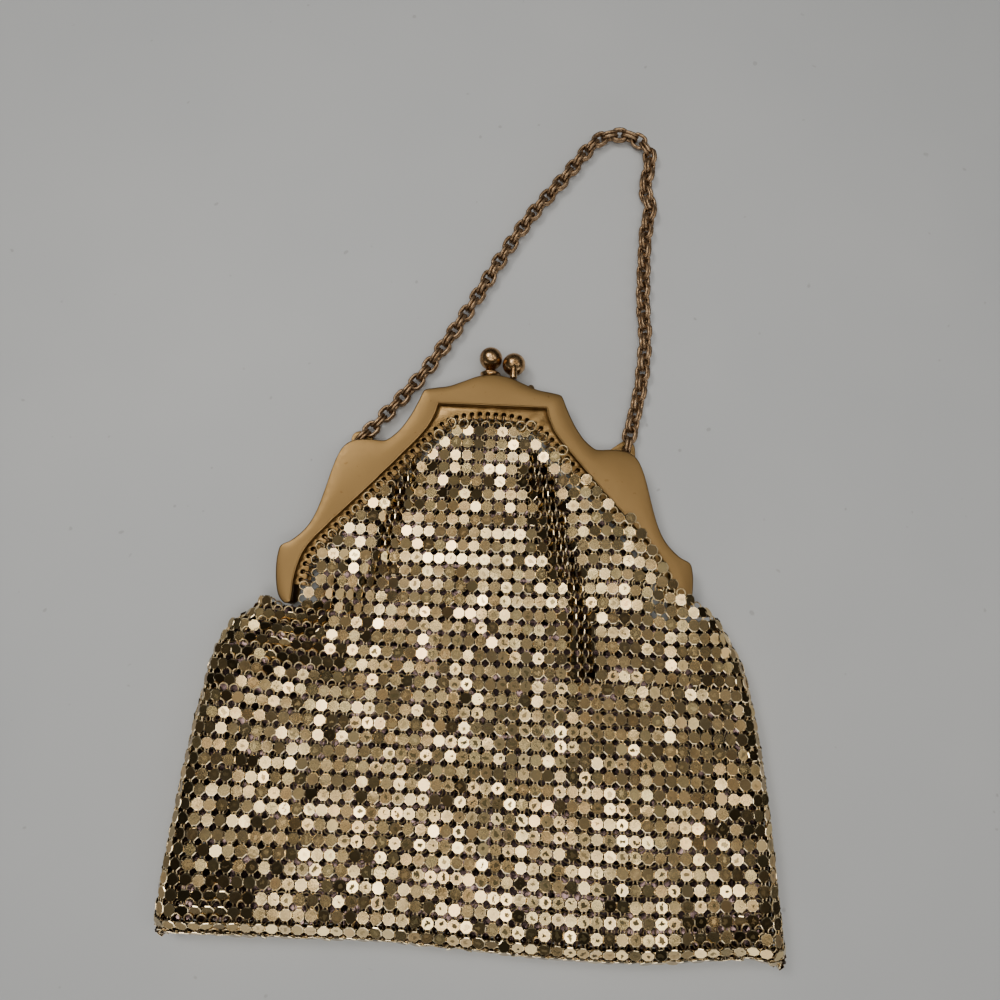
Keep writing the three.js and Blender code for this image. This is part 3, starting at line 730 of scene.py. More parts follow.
# %% One plate with its arms
PLATE_ACROSS = 3.12
PLATE_THICK = 0.3
PLATE_BEVEL = 0.15
BACK_STRETCH = 1.13
EIGHTH = math.pi / 8
FINE_ARM = {"size": (0.3, 0.5, 0.13), "out": 1.4}
PLAIN_ARM = {"size": (0.95, 1.5, 0.13), "out": 1.72}
ARM_LEVEL = -0.24
ARM_TURNED_DOWN = 0.52


def one_plate(fine):
    corner = PLATE_ACROSS / 2 / math.cos(EIGHTH)
    bpy.ops.mesh.primitive_circle_add(vertices=8, radius=corner, fill_type="NGON")
    plate = bpy.context.object
    edit_all()
    bpy.ops.transform.rotate(value=EIGHTH, orient_axis="Z", center_override=(0, 0, 0))
    extrude(0, 0, -PLATE_THICK)
    close_edit()
    if fine:
        select_where(plate, lambda c, n: n.z > 0.9)
        bpy.ops.mesh.bevel(offset=PLATE_BEVEL, segments=1, affect="EDGES")
        bpy.ops.object.mode_set(mode="OBJECT")
    return plate


def one_arm(fine):
    bpy.ops.mesh.primitive_cube_add(size=1)
    arm = bpy.context.object
    row = FINE_ARM if fine else PLAIN_ARM
    arm.scale = row["size"]
    arm.location = (row["out"], 0, ARM_LEVEL)
    apply_all()
    if fine:
        select_where(arm, lambda c, n: n.x > 0.9)
        extrude(0.03, 0, -ARM_TURNED_DOWN)
        bpy.ops.transform.resize(value=(1, 0.75, 1))
        bpy.ops.object.mode_set(mode="OBJECT")
    arm.rotation_euler.z = 2 * EIGHTH
    return arm


def taken_apart(obj):
    """The arrays of a finished little mesh, whose object is then deleted."""
    points = np.array([v.co[:] for v in obj.data.vertices])
    faces = [tuple(p.vertices) for p in obj.data.polygons]
    bpy.data.objects.remove(obj, do_unlink=True)
    return points, faces


def face_triangles(little):
    return sum(len(face) - 2 for face in little[1])


def template(fine):
    """The plate joined with four arms, as arrays of vertices and faces."""
    plate = one_plate(fine)
    arms = [one_arm(fine)]
    for quarter in range(1, 4):
        only(arms[0])
        bpy.ops.object.duplicate(linked=False)
        bpy.context.object.rotation_euler.z = 2 * EIGHTH + quarter * math.pi / 2
        arms.append(bpy.context.object)
    only(*arms, plate)
    apply_all()
    bpy.ops.object.join()
    if not fine:
        plate.scale = (1.0, BACK_STRETCH, 1)
        apply_all()
    return taken_apart(plate)


fine_plate = template(True)
plain_plate = template(False)
print("plates of", face_triangles(fine_plate), "and", face_triangles(plain_plate), "triangles")

# %% [markdown]
# A ring of the mesh is a small torus of round wire that lies under the corners of four plates.
# The front ones have ten sides round and five across, the back ones fewer.

# %% One ring
RING_RADIUS = 1.18
RING_WIRE = 0.19


def torus(radius, wire, around, across, level=0.0):
    bpy.ops.mesh.primitive_torus_add(major_radius=radius, minor_radius=wire, location=(0, 0, level),
                                     major_segments=around, minor_segments=across)
    return bpy.context.object


def one_ring(around, across):
    ring = torus(RING_RADIUS, RING_WIRE, around, across)
    edit_all()
    bpy.ops.transform.resize(value=(1, 1.03, 0.9))
    bpy.ops.object.mode_set(mode="OBJECT")
    return taken_apart(ring)


fine_ring = one_ring(10, 5)
plain_ring = one_ring(8, 4)
print("rings of", face_triangles(fine_ring), "and", face_triangles(plain_ring), "triangles")

# %% [markdown]
# Each copy needs its place and the way it lies. The two directions of the sheet come from its
# neighbours, a squeezed plate turns on edge, and every plate also gets a small lean of its own:
# that is what makes real mesh sparkle. A few are tipped further, as worn ones are. The rings lie
# a little lower, apart from the first row, which is laced over the strip's edge.

# %% Where each plate and ring lies
LEAN_SPREAD = 4.4
TIPPED_SPREAD = 9
TIPPED_SHARE = 0.08
RING_DEPTH = 0.45
TOP_RISE = 0.3
TOP_SIZE = 1.2


def lie(column, t, z_drop, loose, follow=1.0):
    """A 4x4 matrix in metres for something at that column and row."""
    centre = sheet_point(column, t)
    across = sheet_point(column + 0.5, t) - sheet_point(column - 0.5, t)
    upward = sheet_point(column, t - 0.5) - sheet_point(column, t + 0.5)
    gap = across.length
    x_way = across.normalized()
    z_way = x_way.cross(upward).normalized()
    y_way = z_way.cross(x_way)
    turn = math.acos(min(1.0, max(0.25, gap / LOOSE_PITCH))) if gap < LOOSE_PITCH * 0.985 else 0.0
    facing = facing_at(column, t)
    turn *= 0.0 if abs(facing) < 0.02 else math.copysign(1, facing)
    lean = 0.0
    x, down = centre.x / HALF_POUCH, -centre.y / POUCH_DROP
    if abs(column) <= QUARTER + 1:
        for row in LEANS:
            dx = (x - row["x"]) / row["wide"]
            dy = (down - row["down"]) / row["tall"]
            near = math.exp(-dx ** 2 - dy ** 2)
            lean += math.radians(row["lean"]) * near * follow
            turn += math.radians(row["turn"]) * near * follow
    spread = math.radians(LEAN_SPREAD if chance.rand() > TIPPED_SHARE else TIPPED_SPREAD) * loose
    # leaning towards the bottom turns the plate about its x axis, facing right about its y axis
    own = Matrix.Rotation(-lean + chance.normal() * spread, 4, "X")
    own = own @ Matrix.Rotation(turn + chance.normal() * spread, 4, "Y")
    own = own @ Matrix.Rotation(chance.normal() * math.radians(2.5) * loose, 4, "Z")
    spot = place(centre.x, -centre.y, centre.z) + z_way * (-z_drop * MM)
    spot += Vector(chance.normal(size=3) * 0.04 * MM * loose)
    return np.array(Matrix.Translation(spot) @ facing_matrix(x_way, y_way, z_way) @ own)


plates = {}
for column in range(-COLUMNS // 2, COLUMNS // 2):
    for t in range(-1, LAST_ROW + 1):
        if kept(column, t):
            plates[column, t] = lie(column, t, 0.02, 1.0)
rings = {}
for column, t in plates:
    for dc in (-0.5, 0.5):
        for dt in (-0.5, 0.5):
            spot = (wrapped(column + dc), t + dt)
            if spot not in rings and ring_kept(*spot):
                rings[spot] = lie(*spot, RING_DEPTH, 0.6, 0.5)
                if at_the_top(*spot):
                    rings[spot] = lie(*spot, -TOP_RISE, 3.0) @ np.diag([TOP_SIZE] * 3 + [1])
print(len(plates), "plates and", len(rings), "rings")

# %% [markdown]
# The copies are joined into a few pieces of mesh, each under 200,000 triangles: the front in an
# upper and a lower half, and the back. Every copy carries its own wear, and a mask of its outer side
# for painted shade, as a colour attribute and a small map of its own face, so that tarnish can sit at
# the middle of a plate, its rim can stay bright and its inner side and arms can be painted in shade.

# %% Join the copies
OUTER_SKIN = 0.2
UPPER_ROWS = 20


def joined(name, little, spots, seed, smoothed):
    """One object with a copy of the little mesh at each matrix, wear drawn for each copy, and a mask of
    each copy's outer side for painted shade.
    """
    points, faces = little
    spots = np.array(spots)
    count = len(spots)
    local = np.concatenate([points * MM, np.ones((len(points), 1))], axis=1)
    world = np.einsum("nij,kj->nki", spots, local)[:, :, :3].reshape(-1, 3)
    sizes = np.array([len(f) for f in faces])
    corners = np.concatenate([np.array(f) for f in faces])
    loops = (corners[None, :] + (np.arange(count) * len(points))[:, None]).ravel()
    mesh = bpy.data.meshes.new(name)
    mesh.vertices.add(len(world))
    mesh.vertices.foreach_set("co", world.ravel())
    mesh.loops.add(len(loops))
    mesh.loops.foreach_set("vertex_index", loops)
    mesh.polygons.add(len(sizes) * count)
    starts = np.concatenate([[0], np.cumsum(np.tile(sizes, count))[:-1]])
    mesh.polygons.foreach_set("loop_start", starts)
    mesh.update(calc_edges=True)
    mesh.validate()
    own = np.random.RandomState(seed)
    wear_and_shade = np.ones((count, 4))
    wear_and_shade[:, 0] = own.rand(count)
    wear_and_shade[:, 1] = own.rand(count)
    wear_and_shade[:, 2] = speck_amount(spots[:, :3, 3]) * own.rand(count)
    # the alpha of a vertex says whether it is on the outer side; the inner side and the arms, where it
    # is 0, get painted shade
    wear_and_shade = np.repeat(wear_and_shade, len(points), axis=0)
    wear_and_shade[:, 3] = np.tile(np.where(points[:, 2] > points[:, 2].max() - OUTER_SKIN, 1.0, 0.0), count)
    layer = mesh.attributes.new("wear_and_shade", "FLOAT_COLOR", "POINT")
    layer.data.foreach_set("color", wear_and_shade.ravel())
    uv = mesh.uv_layers.new(name="face")
    flat = 0.5 + points[corners][:, :2] / (2 * PLATE_ACROSS)
    uv.data.foreach_set("uv", np.tile(flat, (count, 1)).ravel())
    mesh.polygons.foreach_set("use_smooth", [smoothed] * len(mesh.polygons))
    obj = bpy.data.objects.new(name, mesh)
    bpy.context.collection.objects.link(obj)
    print(name, triangles(obj), "triangles")
    return obj


def speck_amount(spots):
    """Specks of tarnish are thickest over the middle of the front sheet."""
    x = spots[:, 0] / MM / HALF_POUCH
    down = (SHIFT_Y - spots[:, 1] / MM) / POUCH_DROP
    middle = np.exp(-((x - 0.1) / 0.45) ** 2 - ((down - 0.66) / 0.2) ** 2)
    bottom = np.exp(-((x - 0.2) / 0.7) ** 2 - ((down - 0.9) / 0.08) ** 2)
    return np.clip(0.25 + 0.8 * middle + 0.6 * bottom, 0, 1)


def on_the_front(spots, first=-1, last=LAST_ROW):
    """The matrices of the plates or rings on the front sheet, between two rows."""
    return [m for (c, t), m in spots.items() if abs(c) <= QUARTER and first <= t <= last]


def on_the_back(spots):
    return [m for (c, t), m in spots.items() if abs(c) > QUARTER]


upper_plates = on_the_front(plates, last=UPPER_ROWS - 1)
lower_plates = on_the_front(plates, first=UPPER_ROWS)
front_rings = on_the_front(rings, -2, LAST_ROW + 1)
mesh_upper = joined("mesh_plates_front_upper", fine_plate, upper_plates, 1, False)
mesh_lower = joined("mesh_plates_front_lower", fine_plate, lower_plates, 2, False)
mesh_back = joined("mesh_plates_back", plain_plate, on_the_back(plates), 3, False)
rings_front = joined("mesh_rings_front", fine_ring, front_rings, 4, True)
rings_back = joined("mesh_rings_back", plain_ring, on_the_back(rings), 5, True)

# %% [markdown]
# Through each hole of a strip a short wire is laced that goes over the strip's lower edge and
# holds the first rings. It is one bar with two turned ends, extruded step by step from a circle,
# and copied to each hole.

# %% Lacing wires
LACE_STEPS = table("y z size", [
    (-0.5, 0.1, 1.0), (-0.75, 0.02, 1.0), (-0.65, -0.06, 1.0), (-0.3, -0.3, 0.9),
])


def disc(sides, radius, tilt, where):
    """A filled circle that stands on edge, ready to be extruded."""
    bpy.ops.mesh.primitive_circle_add(vertices=sides, radius=radius, fill_type="NGON",
                                      rotation=(math.radians(tilt), 0, 0), location=where)
    apply_all()
    edit_all()
    return bpy.context.object


def one_lace():
    wire = disc(6, 0.19, 90, (0, 0.15, -0.5))
    for row in LACE_STEPS:
        extrude(0, row["y"], row["z"])
        bpy.ops.transform.resize(value=(row["size"],) * 3)
    close_edit()
    return taken_apart(wire)


lace = one_lace()
lace_spots = {1: [], -1: []}
for (x, down), (way_x, way_down) in zip(hole_places, hole_ways):
    for side in (1, -1):
        x_way = Vector((way_x, -way_down, 0)) * side
        z_way = Vector((0, 0, side))
        y_way = z_way.cross(x_way)
        spot = place(x, down, MID + side * (STRIP_TOP - MID + 0.1))
        turned = facing_matrix(x_way, y_way, z_way)
        lace_spots[side].append(np.array(Matrix.Translation(spot) @ turned))
laces = joined("lacing_wires", lace, lace_spots[1] + lace_spots[-1], 6, True)

# %% [markdown]
# The clasp is two brass balls on short stems. One stem comes from each plate, and the balls snap
# past each other. Each is a sphere with a faint seam round its middle, joined to its stem. The
# left one stands on a flared collar, made by extruding and scaling the stem's own circle.

# %% Clasp balls
BALL = 6.75
BALL_STAGGER = 0.35
STEM = 1.7
SEAM = 0.985


def tapered_post(x, y0, y1, z, sections):
    """A round post along +Y with the given (share of its length, radius)."""
    post = disc(24, sections[0][1] * MM, -90, place(x, -y0, z))
    last_share, last_radius = sections[0]
    for share, radius in sections[1:]:
        extrude(0, (share - last_share) * (y1 - y0) * MM, 0)
        centre = place(x, -(y0 + (y1 - y0) * share), z)
        bpy.ops.transform.resize(value=(radius / last_radius,) * 3, center_override=centre)
        last_share, last_radius = share, radius
    close_edit()
    return post


def clasp_ball(name, x, y, side, foot, post_level, sections):
    centre = place(x, -y, MID + side * BALL_STAGGER)
    bpy.ops.mesh.primitive_uv_sphere_add(segments=40, ring_count=22, radius=BALL / 2 * MM,
                                         rotation=(math.radians(-90), 0, 0), location=centre)
    ball = bpy.context.object
    apply_all()
    select_where(ball, lambda c, n: abs(c.y - centre.y) < 0.0001, kind="VERT")
    bpy.ops.transform.resize(value=(SEAM, 1, SEAM), center_override=centre)
    bpy.ops.object.mode_set(mode="OBJECT")
    post = tapered_post(x, foot, y, MID + post_level, sections)
    only(post, ball)
    bpy.ops.object.join()
    return settle(ball, name, 40)


collared = [(0, 2.3), (0.1, 2.6), (0.2, 3.0), (0.27, 3.0), (0.34, 2.3), (0.46, 1.4), (0.85, STEM / 2)]
straight_stem = [(0, 1.0), (0.5, 1.0), (0.86, 0.95), (0.95, 0.6)]
right_foot = 0.3 - 0.012 * FRAME_DROP
ball_left = clasp_ball("kiss_lock_ball_left", -1.2, 6.15, -1, 0.3, -1.6, collared)
ball_right = clasp_ball("kiss_lock_ball_right", 5.65, 4.35, 1, right_foot, 2.6, straight_stem)
print("balls", round(1000 * ball_left.dimensions.x, 1), "mm across")

# %% [markdown]
# The chain hangs from two lugs on the back plate, flat tabs with a hole, and a small round stop sits
# at the plate's upper edge. They are soldered to the plate, so they are joined to it.

# %% Lugs and stop on the back plate
LUG_BORE = 1.1
LUG_GAUGE = 1.0
STOP_RADIUS = 1.1


def lug_outline(x, down, side):
    """A tab with a round head, a steep outer side and a long slope on its inner side."""
    tab = []
    for a in np.radians(np.arange(-40, 96, 13.5)):
        tab.append((x + side * LUG_HEAD * math.sin(a), down - LUG_HEAD * math.cos(a)))
    foot = down + 4.6
    tab += [(x + side * (LUG_HEAD + 0.3), foot), (x - side * 5.2, foot)]
    tab += [(x - side * 5.0, down + 0.6)]
    return np.array(tab)


tabs = []
for side, (x, down) in ((-1, LUG_HOLES[0]), (1, LUG_HOLES[1])):
    loops = [lug_outline(x, down, side), ring_of(x, down, LUG_BORE, 20)]
    tabs.append(flat_sheet("tab", loops, LUG_LEVEL - LUG_GAUGE / 2, LUG_GAUGE, 0.12))
stop_place = place(0.19 * HALF_FRAME, 0.034 * FRAME_DROP, MID - 1.3)
bpy.ops.mesh.primitive_uv_sphere_add(segments=20, ring_count=12, radius=STOP_RADIUS * MM,
                                     location=stop_place)
stop = bpy.context.object
bpy.ops.transform.resize(value=(1, 1.12, 1))
bpy.ops.object.transform_apply(location=False, rotation=True, scale=True)
bpy.ops.object.shade_smooth()
only(*tabs, stop, back_plate)
bpy.ops.object.join()
settle(back_plate, "back_plate_of_frame")
print("back plate with lugs", triangles(back_plate), "triangles")

# %% [markdown]
# The carry chain has double links: two ovals of wire side by side, turned a quarter from link to
# link. One oval is a torus pulled apart in the middle; a link is two of them. The links are laid
# along the same route as the CAD chain, and each passes through the next.

# %% Carry chain
LINK_ACROSS = 4.5
LINK_LONG = 5.6
LINK_WIRE = 1.0
LINKS = 73
START = 1.15
LOOP_RISE = 84.4
CHAIN_ROUTE = table("x rise", [
    (-0.605, -0.187), (-0.455, -0.064), (-0.326, 0.058), (-0.145, 0.27), (0.024, 0.487),
    (0.16, 0.641), (0.319, 0.787), (0.456, 0.918), (0.537, 0.966), (0.65, 0.978), (0.749, 0.945),
    (0.789, 0.883), (0.765, 0.761), (0.793, 0.694), (0.768, 0.562), (0.761, 0.328), (0.774, 0.178),
    (0.756, 0.011), (0.714, -0.136),
])


def one_link():
    link = torus((LINK_ACROSS - LINK_WIRE) / 2, LINK_WIRE / 2, 20, 8, LINK_WIRE / 2)
    apply_all()
    for side in (-1, 1):
        select_where(link, lambda c, n: c.x * side > 0.05, kind="VERT")
        bpy.ops.transform.translate(value=(side * (LINK_LONG - LINK_ACROSS) / 2, 0, 0))
    bpy.ops.mesh.select_all(action="SELECT")
    bpy.ops.mesh.duplicate_move(TRANSFORM_OT_translate={"value": (0, 0, -LINK_WIRE)})
    bpy.ops.object.mode_set(mode="OBJECT")
    return taken_apart(link)


link = one_link()
lug_left, lug_right = [(x, -down) for x, down in LUG_HOLES]
route = [(row["x"] * HALF_FRAME, row["rise"] * LOOP_RISE) for row in CHAIN_ROUTE]
route = spline([lug_left, *route, lug_right], 12)
lengths = run_along(route)
pitch = (lengths[-1] - 2 * START) / (LINKS - 1)


def route_at(length):
    return Vector((*points_at(route, lengths, length), 0))


chain_spots = []
for n in range(LINKS):
    at = START + n * pitch
    spot = route_at(at)
    x_way = (route_at(at + 1.2) - route_at(at - 1.2)).normalized()
    z_way = Vector((0, 0, 1))
    y_way = z_way.cross(x_way)
    # the links lie flat and on edge in turn, and the right half of the chain is twisted an eighth
    share = n / (LINKS - 1)
    twisted = float(smooth((share - 0.5) / 0.12)) * (1 - float(smooth((share - 0.975) / 0.02)))
    roll = math.pi / 2 * ((n + 1) % 2) + math.pi / 4 * twisted
    roll += chance.normal() * 0.09
    yaw = chance.normal() * 0.05
    height = LINK_ACROSS / 2 - 0.15 * abs(math.cos(roll)) + 0.06
    turned = Matrix.Translation(place(spot.x, -spot.y, height)) @ facing_matrix(x_way, y_way, z_way)
    turned = turned @ Matrix.Rotation(roll, 4, "X") @ Matrix.Rotation(yaw, 4, "Z")
    chain_spots.append(np.array(turned))
chain = joined("carry_chain_links", link, chain_spots, 7, True)
print("chain of", LINKS, "links,", round(pitch, 2), "mm apart,", round(lengths[-1]), "mm long")

# %% [markdown]
# The finishes are made of nodes. Gilt brass is a metal shader whose colour and gloss are broken up
# by noise. The frame's also has a few dark stains.

# %% Metals


def new_finish(name, metallic=1.0):
    material = bpy.data.materials.new(name)
    material.use_nodes = True
    tree = material.node_tree
    shader = tree.nodes["Principled BSDF"]
    shader.inputs["Metallic"].default_value = metallic
    return material, tree, shader


def feed(tree, socket, value):
    """Gives an input a number, a colour or another node's output."""
    if isinstance(value, (int, float)):
        socket.default_value = value
    elif isinstance(value, tuple):
        socket.default_value = (*value, 1)
    else:
        tree.links.new(value, socket)


def noise(tree, source, scale, detail=3.0, rough=0.6):
    node = tree.nodes.new("ShaderNodeTexNoise")
    for name, value in (("Scale", scale), ("Detail", detail), ("Roughness", rough), ("Vector", source)):
        feed(tree, node.inputs[name], value)
    return node.outputs["Fac"]


def ramp(tree, source, stops):
    """A colour ramp through (place, colour) stops, where a plain number is a grey."""
    node = tree.nodes.new("ShaderNodeValToRGB")
    elements = node.color_ramp.elements
    while len(elements) < len(stops):
        elements.new(0.5)
    for element, (at, colour) in zip(elements, stops):
        element.position = at
        element.color = (*colour, 1) if isinstance(colour, tuple) else (colour, colour, colour, 1)
    tree.links.new(source, node.inputs["Fac"])
    return node.outputs["Color"]


def maths(tree, kind, a, b):
    node = tree.nodes.new("ShaderNodeMath")
    node.operation = kind
    feed(tree, node.inputs[0], a)
    feed(tree, node.inputs[1], b)
    return node.outputs[0]


def times(tree, a, b):
    return maths(tree, "MULTIPLY", a, b)


def plus(tree, a, b):
    return maths(tree, "ADD", a, b)


def blend(tree, how_much, a, b, kind="MIX"):
    node = tree.nodes.new("ShaderNodeMix")
    node.data_type = "RGBA"
    node.blend_type = kind
    for socket, value in ((node.inputs["Factor"], how_much), (node.inputs[6], a), (node.inputs[7], b)):
        feed(tree, socket, value)
    return node.outputs[2]


def distance(tree, source, point):
    node = tree.nodes.new("ShaderNodeVectorMath")
    node.operation = "DISTANCE"
    node.inputs[1].default_value = point
    tree.links.new(source, node.inputs[0])
    return node.outputs["Value"]


def coordinates(tree, kind="Object"):
    return tree.nodes.new("ShaderNodeTexCoord").outputs[kind]


def bump(tree, height, strength, depth, shader):
    node = tree.nodes.new("ShaderNodeBump")
    for name, value in (("Strength", strength), ("Distance", depth), ("Height", height)):
        feed(tree, node.inputs[name], value)
    tree.links.new(node.outputs["Normal"], shader.inputs["Normal"])


def cast_metal(name, dark, light, gloss, scale):
    """A metal whose colour and gloss wander with noise on the piece's own coordinates."""
    material, tree, shader = new_finish(name)
    here = coordinates(tree)
    fine = noise(tree, here, scale * 22, 4)
    colour = ramp(tree, noise(tree, here, scale), [(0.35, dark), (0.65, light)])
    feed(tree, shader.inputs["Base Color"], colour)
    feed(tree, shader.inputs["Roughness"], ramp(tree, fine, [(0.3, gloss[0]), (0.7, gloss[1])]))
    bump(tree, fine, 0.25, 0.00003, shader)
    return material, tree, shader, colour


satin_gold, tree, shader, gold = cast_metal("satin_gold", (0.21, 0.13, 0.051), (0.245, 0.152, 0.061),
                                            (0.34, 0.42), 38)
stain = ramp(tree, noise(tree, coordinates(tree), 620, 2, 0.5), [(0.69, 0), (0.76, 1)])
stained = blend(tree, times(tree, stain, 0.6), gold, (0.14, 0.07, 0.02))
feed(tree, shader.inputs["Base Color"], stained)

PLAIN_METALS = table("name dark light gloss scale", [
    ("strip_gold", (0.17, 0.1, 0.036), (0.32, 0.2, 0.08), (0.28, 0.42), 300),
    ("ring_brass", (0.55, 0.38, 0.18), (0.95, 0.77, 0.46), (0.26, 0.38), 420),
    ("antique_brass", (0.25, 0.14, 0.06), (0.62, 0.4, 0.2), (0.16, 0.34), 520),
    ("antique_bronze", (0.21, 0.125, 0.065), (0.52, 0.36, 0.22), (0.32, 0.5), 900),
    ("hinge_steel", (0.4, 0.38, 0.34), (0.55, 0.52, 0.47), (0.3, 0.5), 400),
])
plain = [cast_metal(**row)[0] for row in PLAIN_METALS]
strip_gold, ring_brass, old_brass, chain_bronze, pin_steel = plain
print(1 + len(plain), "cast metals made")

# %% [markdown]
# The mesh reads each plate's own wear and shade: how dark it is, how much it shines, how much tarnish it
# has and which of its points lie on its outer side. A plate's own map runs from its middle to its rim.
# Tarnish gathers at the middle, where fingers and polish never reach, and its edge is broken up with
# noise. The rim is rubbed bright. The inner side
# and the arms get painted shade: a dark colour, since the hollows between the plates lie in shadow.

# %% Gilt of the mesh plates
# painted shade: the dark colour of the plates' inner side and arms, where the hollows lie in shadow
PAINTED_SHADE_INSIDE = (0.12, 0.08, 0.078)
TARNISH = (0.06, 0.05, 0.025)
GREENISH = (0.36, 0.3, 0.17)
RUBBED_RIM = (0.95, 0.78, 0.48)

mesh_gold, tree, shader = new_finish("worn_and_shaded_mesh_gold")
here = coordinates(tree)
wear_and_shade = tree.nodes.new("ShaderNodeAttribute")
wear_and_shade.attribute_name = "wear_and_shade"
parts = tree.nodes.new("ShaderNodeSeparateColor")
tree.links.new(wear_and_shade.outputs["Color"], parts.inputs["Color"])
own_map = tree.nodes.new("ShaderNodeUVMap")
own_map.uv_map = "face"
reach = times(tree, distance(tree, own_map.outputs["UV"], (0.5, 0.5, 0)), 4.0)
grime = noise(tree, here, 850, 3, 0.6)
ragged = plus(tree, times(tree, reach, 0.65), times(tree, grime, 1.6))
allowed = ramp(tree, parts.outputs["Blue"], [(0.12, 0), (0.5, 1)])
speck = times(tree, ramp(tree, ragged, [(0.98, 1), (1.08, 0)]), allowed)
tone = ramp(tree, parts.outputs["Red"], [
    (0.0, (0.27, 0.175, 0.08)),
    (0.35, (0.4, 0.29, 0.135)),
    (0.6, (0.62, 0.4, 0.175)),
    (1.0, (0.84, 0.64, 0.3)),
])
patchy = ramp(tree, noise(tree, here, 55, 3), [(0.42, 0), (0.62, 1)])
tone = blend(tree, times(tree, patchy, 0.35), tone, GREENISH)
colour_with_wear_and_shade = blend(tree, times(tree, speck, 0.92), tone, TARNISH)
rim = ramp(tree, reach, [(0.86, 0), (0.93, 1)])
colour_with_wear_and_shade = blend(tree, times(tree, rim, 0.8), colour_with_wear_and_shade, RUBBED_RIM)
# painted shade: the inner side and the arms take the dark colour
colour_with_wear_and_shade = blend(tree, wear_and_shade.outputs["Alpha"], PAINTED_SHADE_INSIDE, colour_with_wear_and_shade)
gloss = ramp(tree, parts.outputs["Green"], [(0.0, 0.1), (1.0, 0.2)])
feed(tree, shader.inputs["Base Color"], colour_with_wear_and_shade)
feed(tree, shader.inputs["Roughness"], plus(tree, gloss, times(tree, speck, 0.3)))
bump(tree, grime, 0.2, 0.00004, shader)
print("mesh gilt made")

# %% [markdown]
# Each piece is tied to the CAD body, stands in for its CAD node and gets its finish. The hinge pins
# stay as the CAD has them, inside the closed tips, and only get their metal.

# %% Dress the frame
DRESS = table("piece node metal slot", [
    (front_plate, "front_frame_plate", satin_gold, "frame_gold"),
    (back_plate, "back_frame_plate", satin_gold, "frame_gold"),
    (front_strip, "front_mesh_strip", strip_gold, "strip_gold"),
    (back_strip, "back_mesh_strip", strip_gold, "strip_gold"),
    (laces, "", old_brass, "strip_gold"),
    (mesh_upper, "mesh_pouch", mesh_gold, "mesh_gold"),
    (mesh_lower, "mesh_pouch", mesh_gold, "mesh_gold"),
    (mesh_back, "mesh_pouch", mesh_gold, "mesh_gold"),
    (rings_front, "mesh_pouch", ring_brass, "mesh_gold"),
    (rings_back, "mesh_pouch", ring_brass, "mesh_gold"),
    (ball_left, "clasp_ball_left", old_brass, "clasp_brass"),
    (ball_right, "clasp_ball_right", old_brass, "clasp_brass"),
    (chain, "carry_chain", chain_bronze, "chain_bronze"),
])


def finish_in(obj, metal):
    obj.data.materials.clear()
    obj.data.materials.append(metal)


for row in DRESS:
    finish_in(row["piece"], row["metal"])
    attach(row["piece"], "root")
    if row["node"]:
        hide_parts(row["node"])
for name in ("hinge_pin_left", "hinge_pin_right"):
    finish_in(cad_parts[name], pin_steel)
print(sum(triangles(row["piece"]) for row in DRESS), "triangles in all")

# %% [markdown]
# The purse lies on pale grey paper: one large plane with a trace of grain, a few dark specks of
# dust, and a painted falloff of light: a little brighter round the purse and darker away from it.

# %% Paper
bpy.ops.mesh.primitive_plane_add(size=3, location=(0, 0, 0))
paper = bpy.context.object
paper.name = "paper"
bpy.ops.object.mode_set(mode="EDIT")
bpy.ops.mesh.subdivide(number_cuts=4)
bpy.ops.object.mode_set(mode="OBJECT")
grey_paper, tree, shader = new_finish("grey_paper", 0.0)
feed(tree, shader.inputs["Roughness"], 0.75)
feed(tree, shader.inputs["Specular IOR Level"], 0.25)
here = coordinates(tree)
grain = ramp(tree, noise(tree, here, 9), [(0.3, (0.61, 0.63, 0.655)), (0.7, (0.66, 0.675, 0.695))])
# painted light falloff: the paper's colour is brighter round the purse and darker away from it
paper_light_falloff = ramp(tree, distance(tree, here, (-0.03, 0.0, 0)), [(0.06, 1.04), (0.26, 0.84)])
grain_with_painted_falloff = blend(tree, 1.0, grain, paper_light_falloff, "MULTIPLY")
dust = ramp(tree, noise(tree, here, 260, 1, 0.4), [(0.765, 0), (0.8, 1)])
feed(tree, shader.inputs["Base Color"], blend(tree, times(tree, dust, 0.45), grain_with_painted_falloff, (0.35, 0.35, 0.36)))
paper.data.materials.append(grey_paper)
print("paper laid")

# %% [markdown]
# The light is a dim room with blurred lighter and darker panels all round, which the plates
# mirror. One bright low band towards the viewer lights the plates' lower rims. One large lamp at
# the upper left gives the soft shadows, and a few small lamps stand overhead. The small ones add
# little light, but the plates that happen to lean towards them flash.

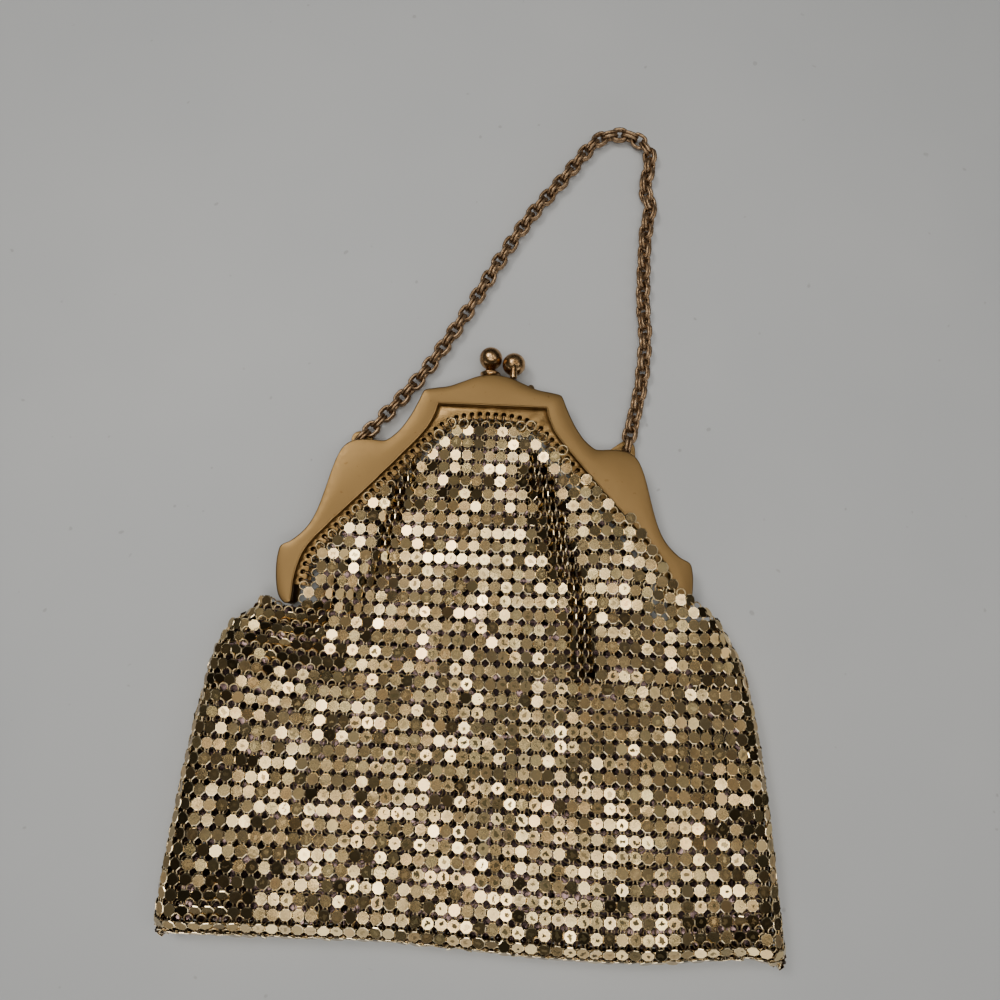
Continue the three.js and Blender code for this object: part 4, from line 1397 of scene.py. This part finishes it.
# %% Light
world = bpy.data.worlds.new("room")
bpy.context.scene.world = world
world.use_nodes = True
tree = world.node_tree
direction = coordinates(tree, "Generated")
split = tree.nodes.new("ShaderNodeSeparateXYZ")
tree.links.new(direction, split.inputs[0])
height = plus(tree, split.outputs["Z"], times(tree, split.outputs["Y"], 0.25))
sky = ramp(tree, height, [(0.0, 0.1), (0.25, 0.05), (0.6, 0.05), (0.85, 0.2), (1.0, 0.29)])
panels = ramp(tree, noise(tree, direction, 5.5, 1.5, 0.5), [(0.42, 0.22), (0.53, 0.6), (0.66, 2.2)])
sky = blend(tree, 1.0, sky, panels, "MULTIPLY")
to_viewer = ramp(tree, times(tree, split.outputs["Y"], -1.0), [(0.35, 0), (0.75, 2.0)])
low_down = ramp(tree, split.outputs["Z"], [(0.22, 1), (0.36, 0)])
band = blend(tree, 1.0, to_viewer, low_down, "MULTIPLY")
background = tree.nodes["Background"]
feed(tree, background.inputs["Color"], blend(tree, 1.0, sky, band, "ADD"))
feed(tree, background.inputs["Strength"], 1.0)

WARM = (1.0, 0.96, 0.88)
LAMPS = table("name x y z size power", [
    ("key", -0.45, 0.35, 0.9, 0.3, 2.8),
    ("fill", 0.9, -0.1, 1.0, 0.5, 1.2),
    ("spark_a", 0.1, 0.12, 1.0, 0.14, 0.5),
    ("spark_b", -0.16, -0.05, 1.0, 0.14, 0.5),
    ("spark_d", -0.1, 0.42, 1.0, 0.15, 0.5),
    ("spark_e", 0.02, -0.36, 1.0, 0.15, 0.5),
    ("spark_c", 0.36, -0.42, 1.0, 0.15, 0.5),
    ("spark_h", 0.16, -0.48, 1.0, 0.15, 0.5),
    ("spark_i", -0.15, -0.46, 1.0, 0.15, 0.5),
    ("spark_f", -0.42, -0.28, 1.0, 0.15, 0.5),
    ("spark_g", 0.42, 0.3, 1.0, 0.15, 0.5),
])
for row in LAMPS:
    bpy.ops.object.light_add(type="AREA", location=(row["x"], row["y"], row["z"]))
    lamp = bpy.context.object
    lamp.name = row["name"]
    lamp.data.shape = "SQUARE"
    lamp.data.size = row["size"]
    lamp.data.energy = row["power"]
    lamp.data.color = WARM
    towards = Vector((row["x"], row["y"] + 0.03, row["z"]))
    lamp.rotation_euler = towards.to_track_quat("Z", "Y").to_euler()
print(len(LAMPS), "lamps")
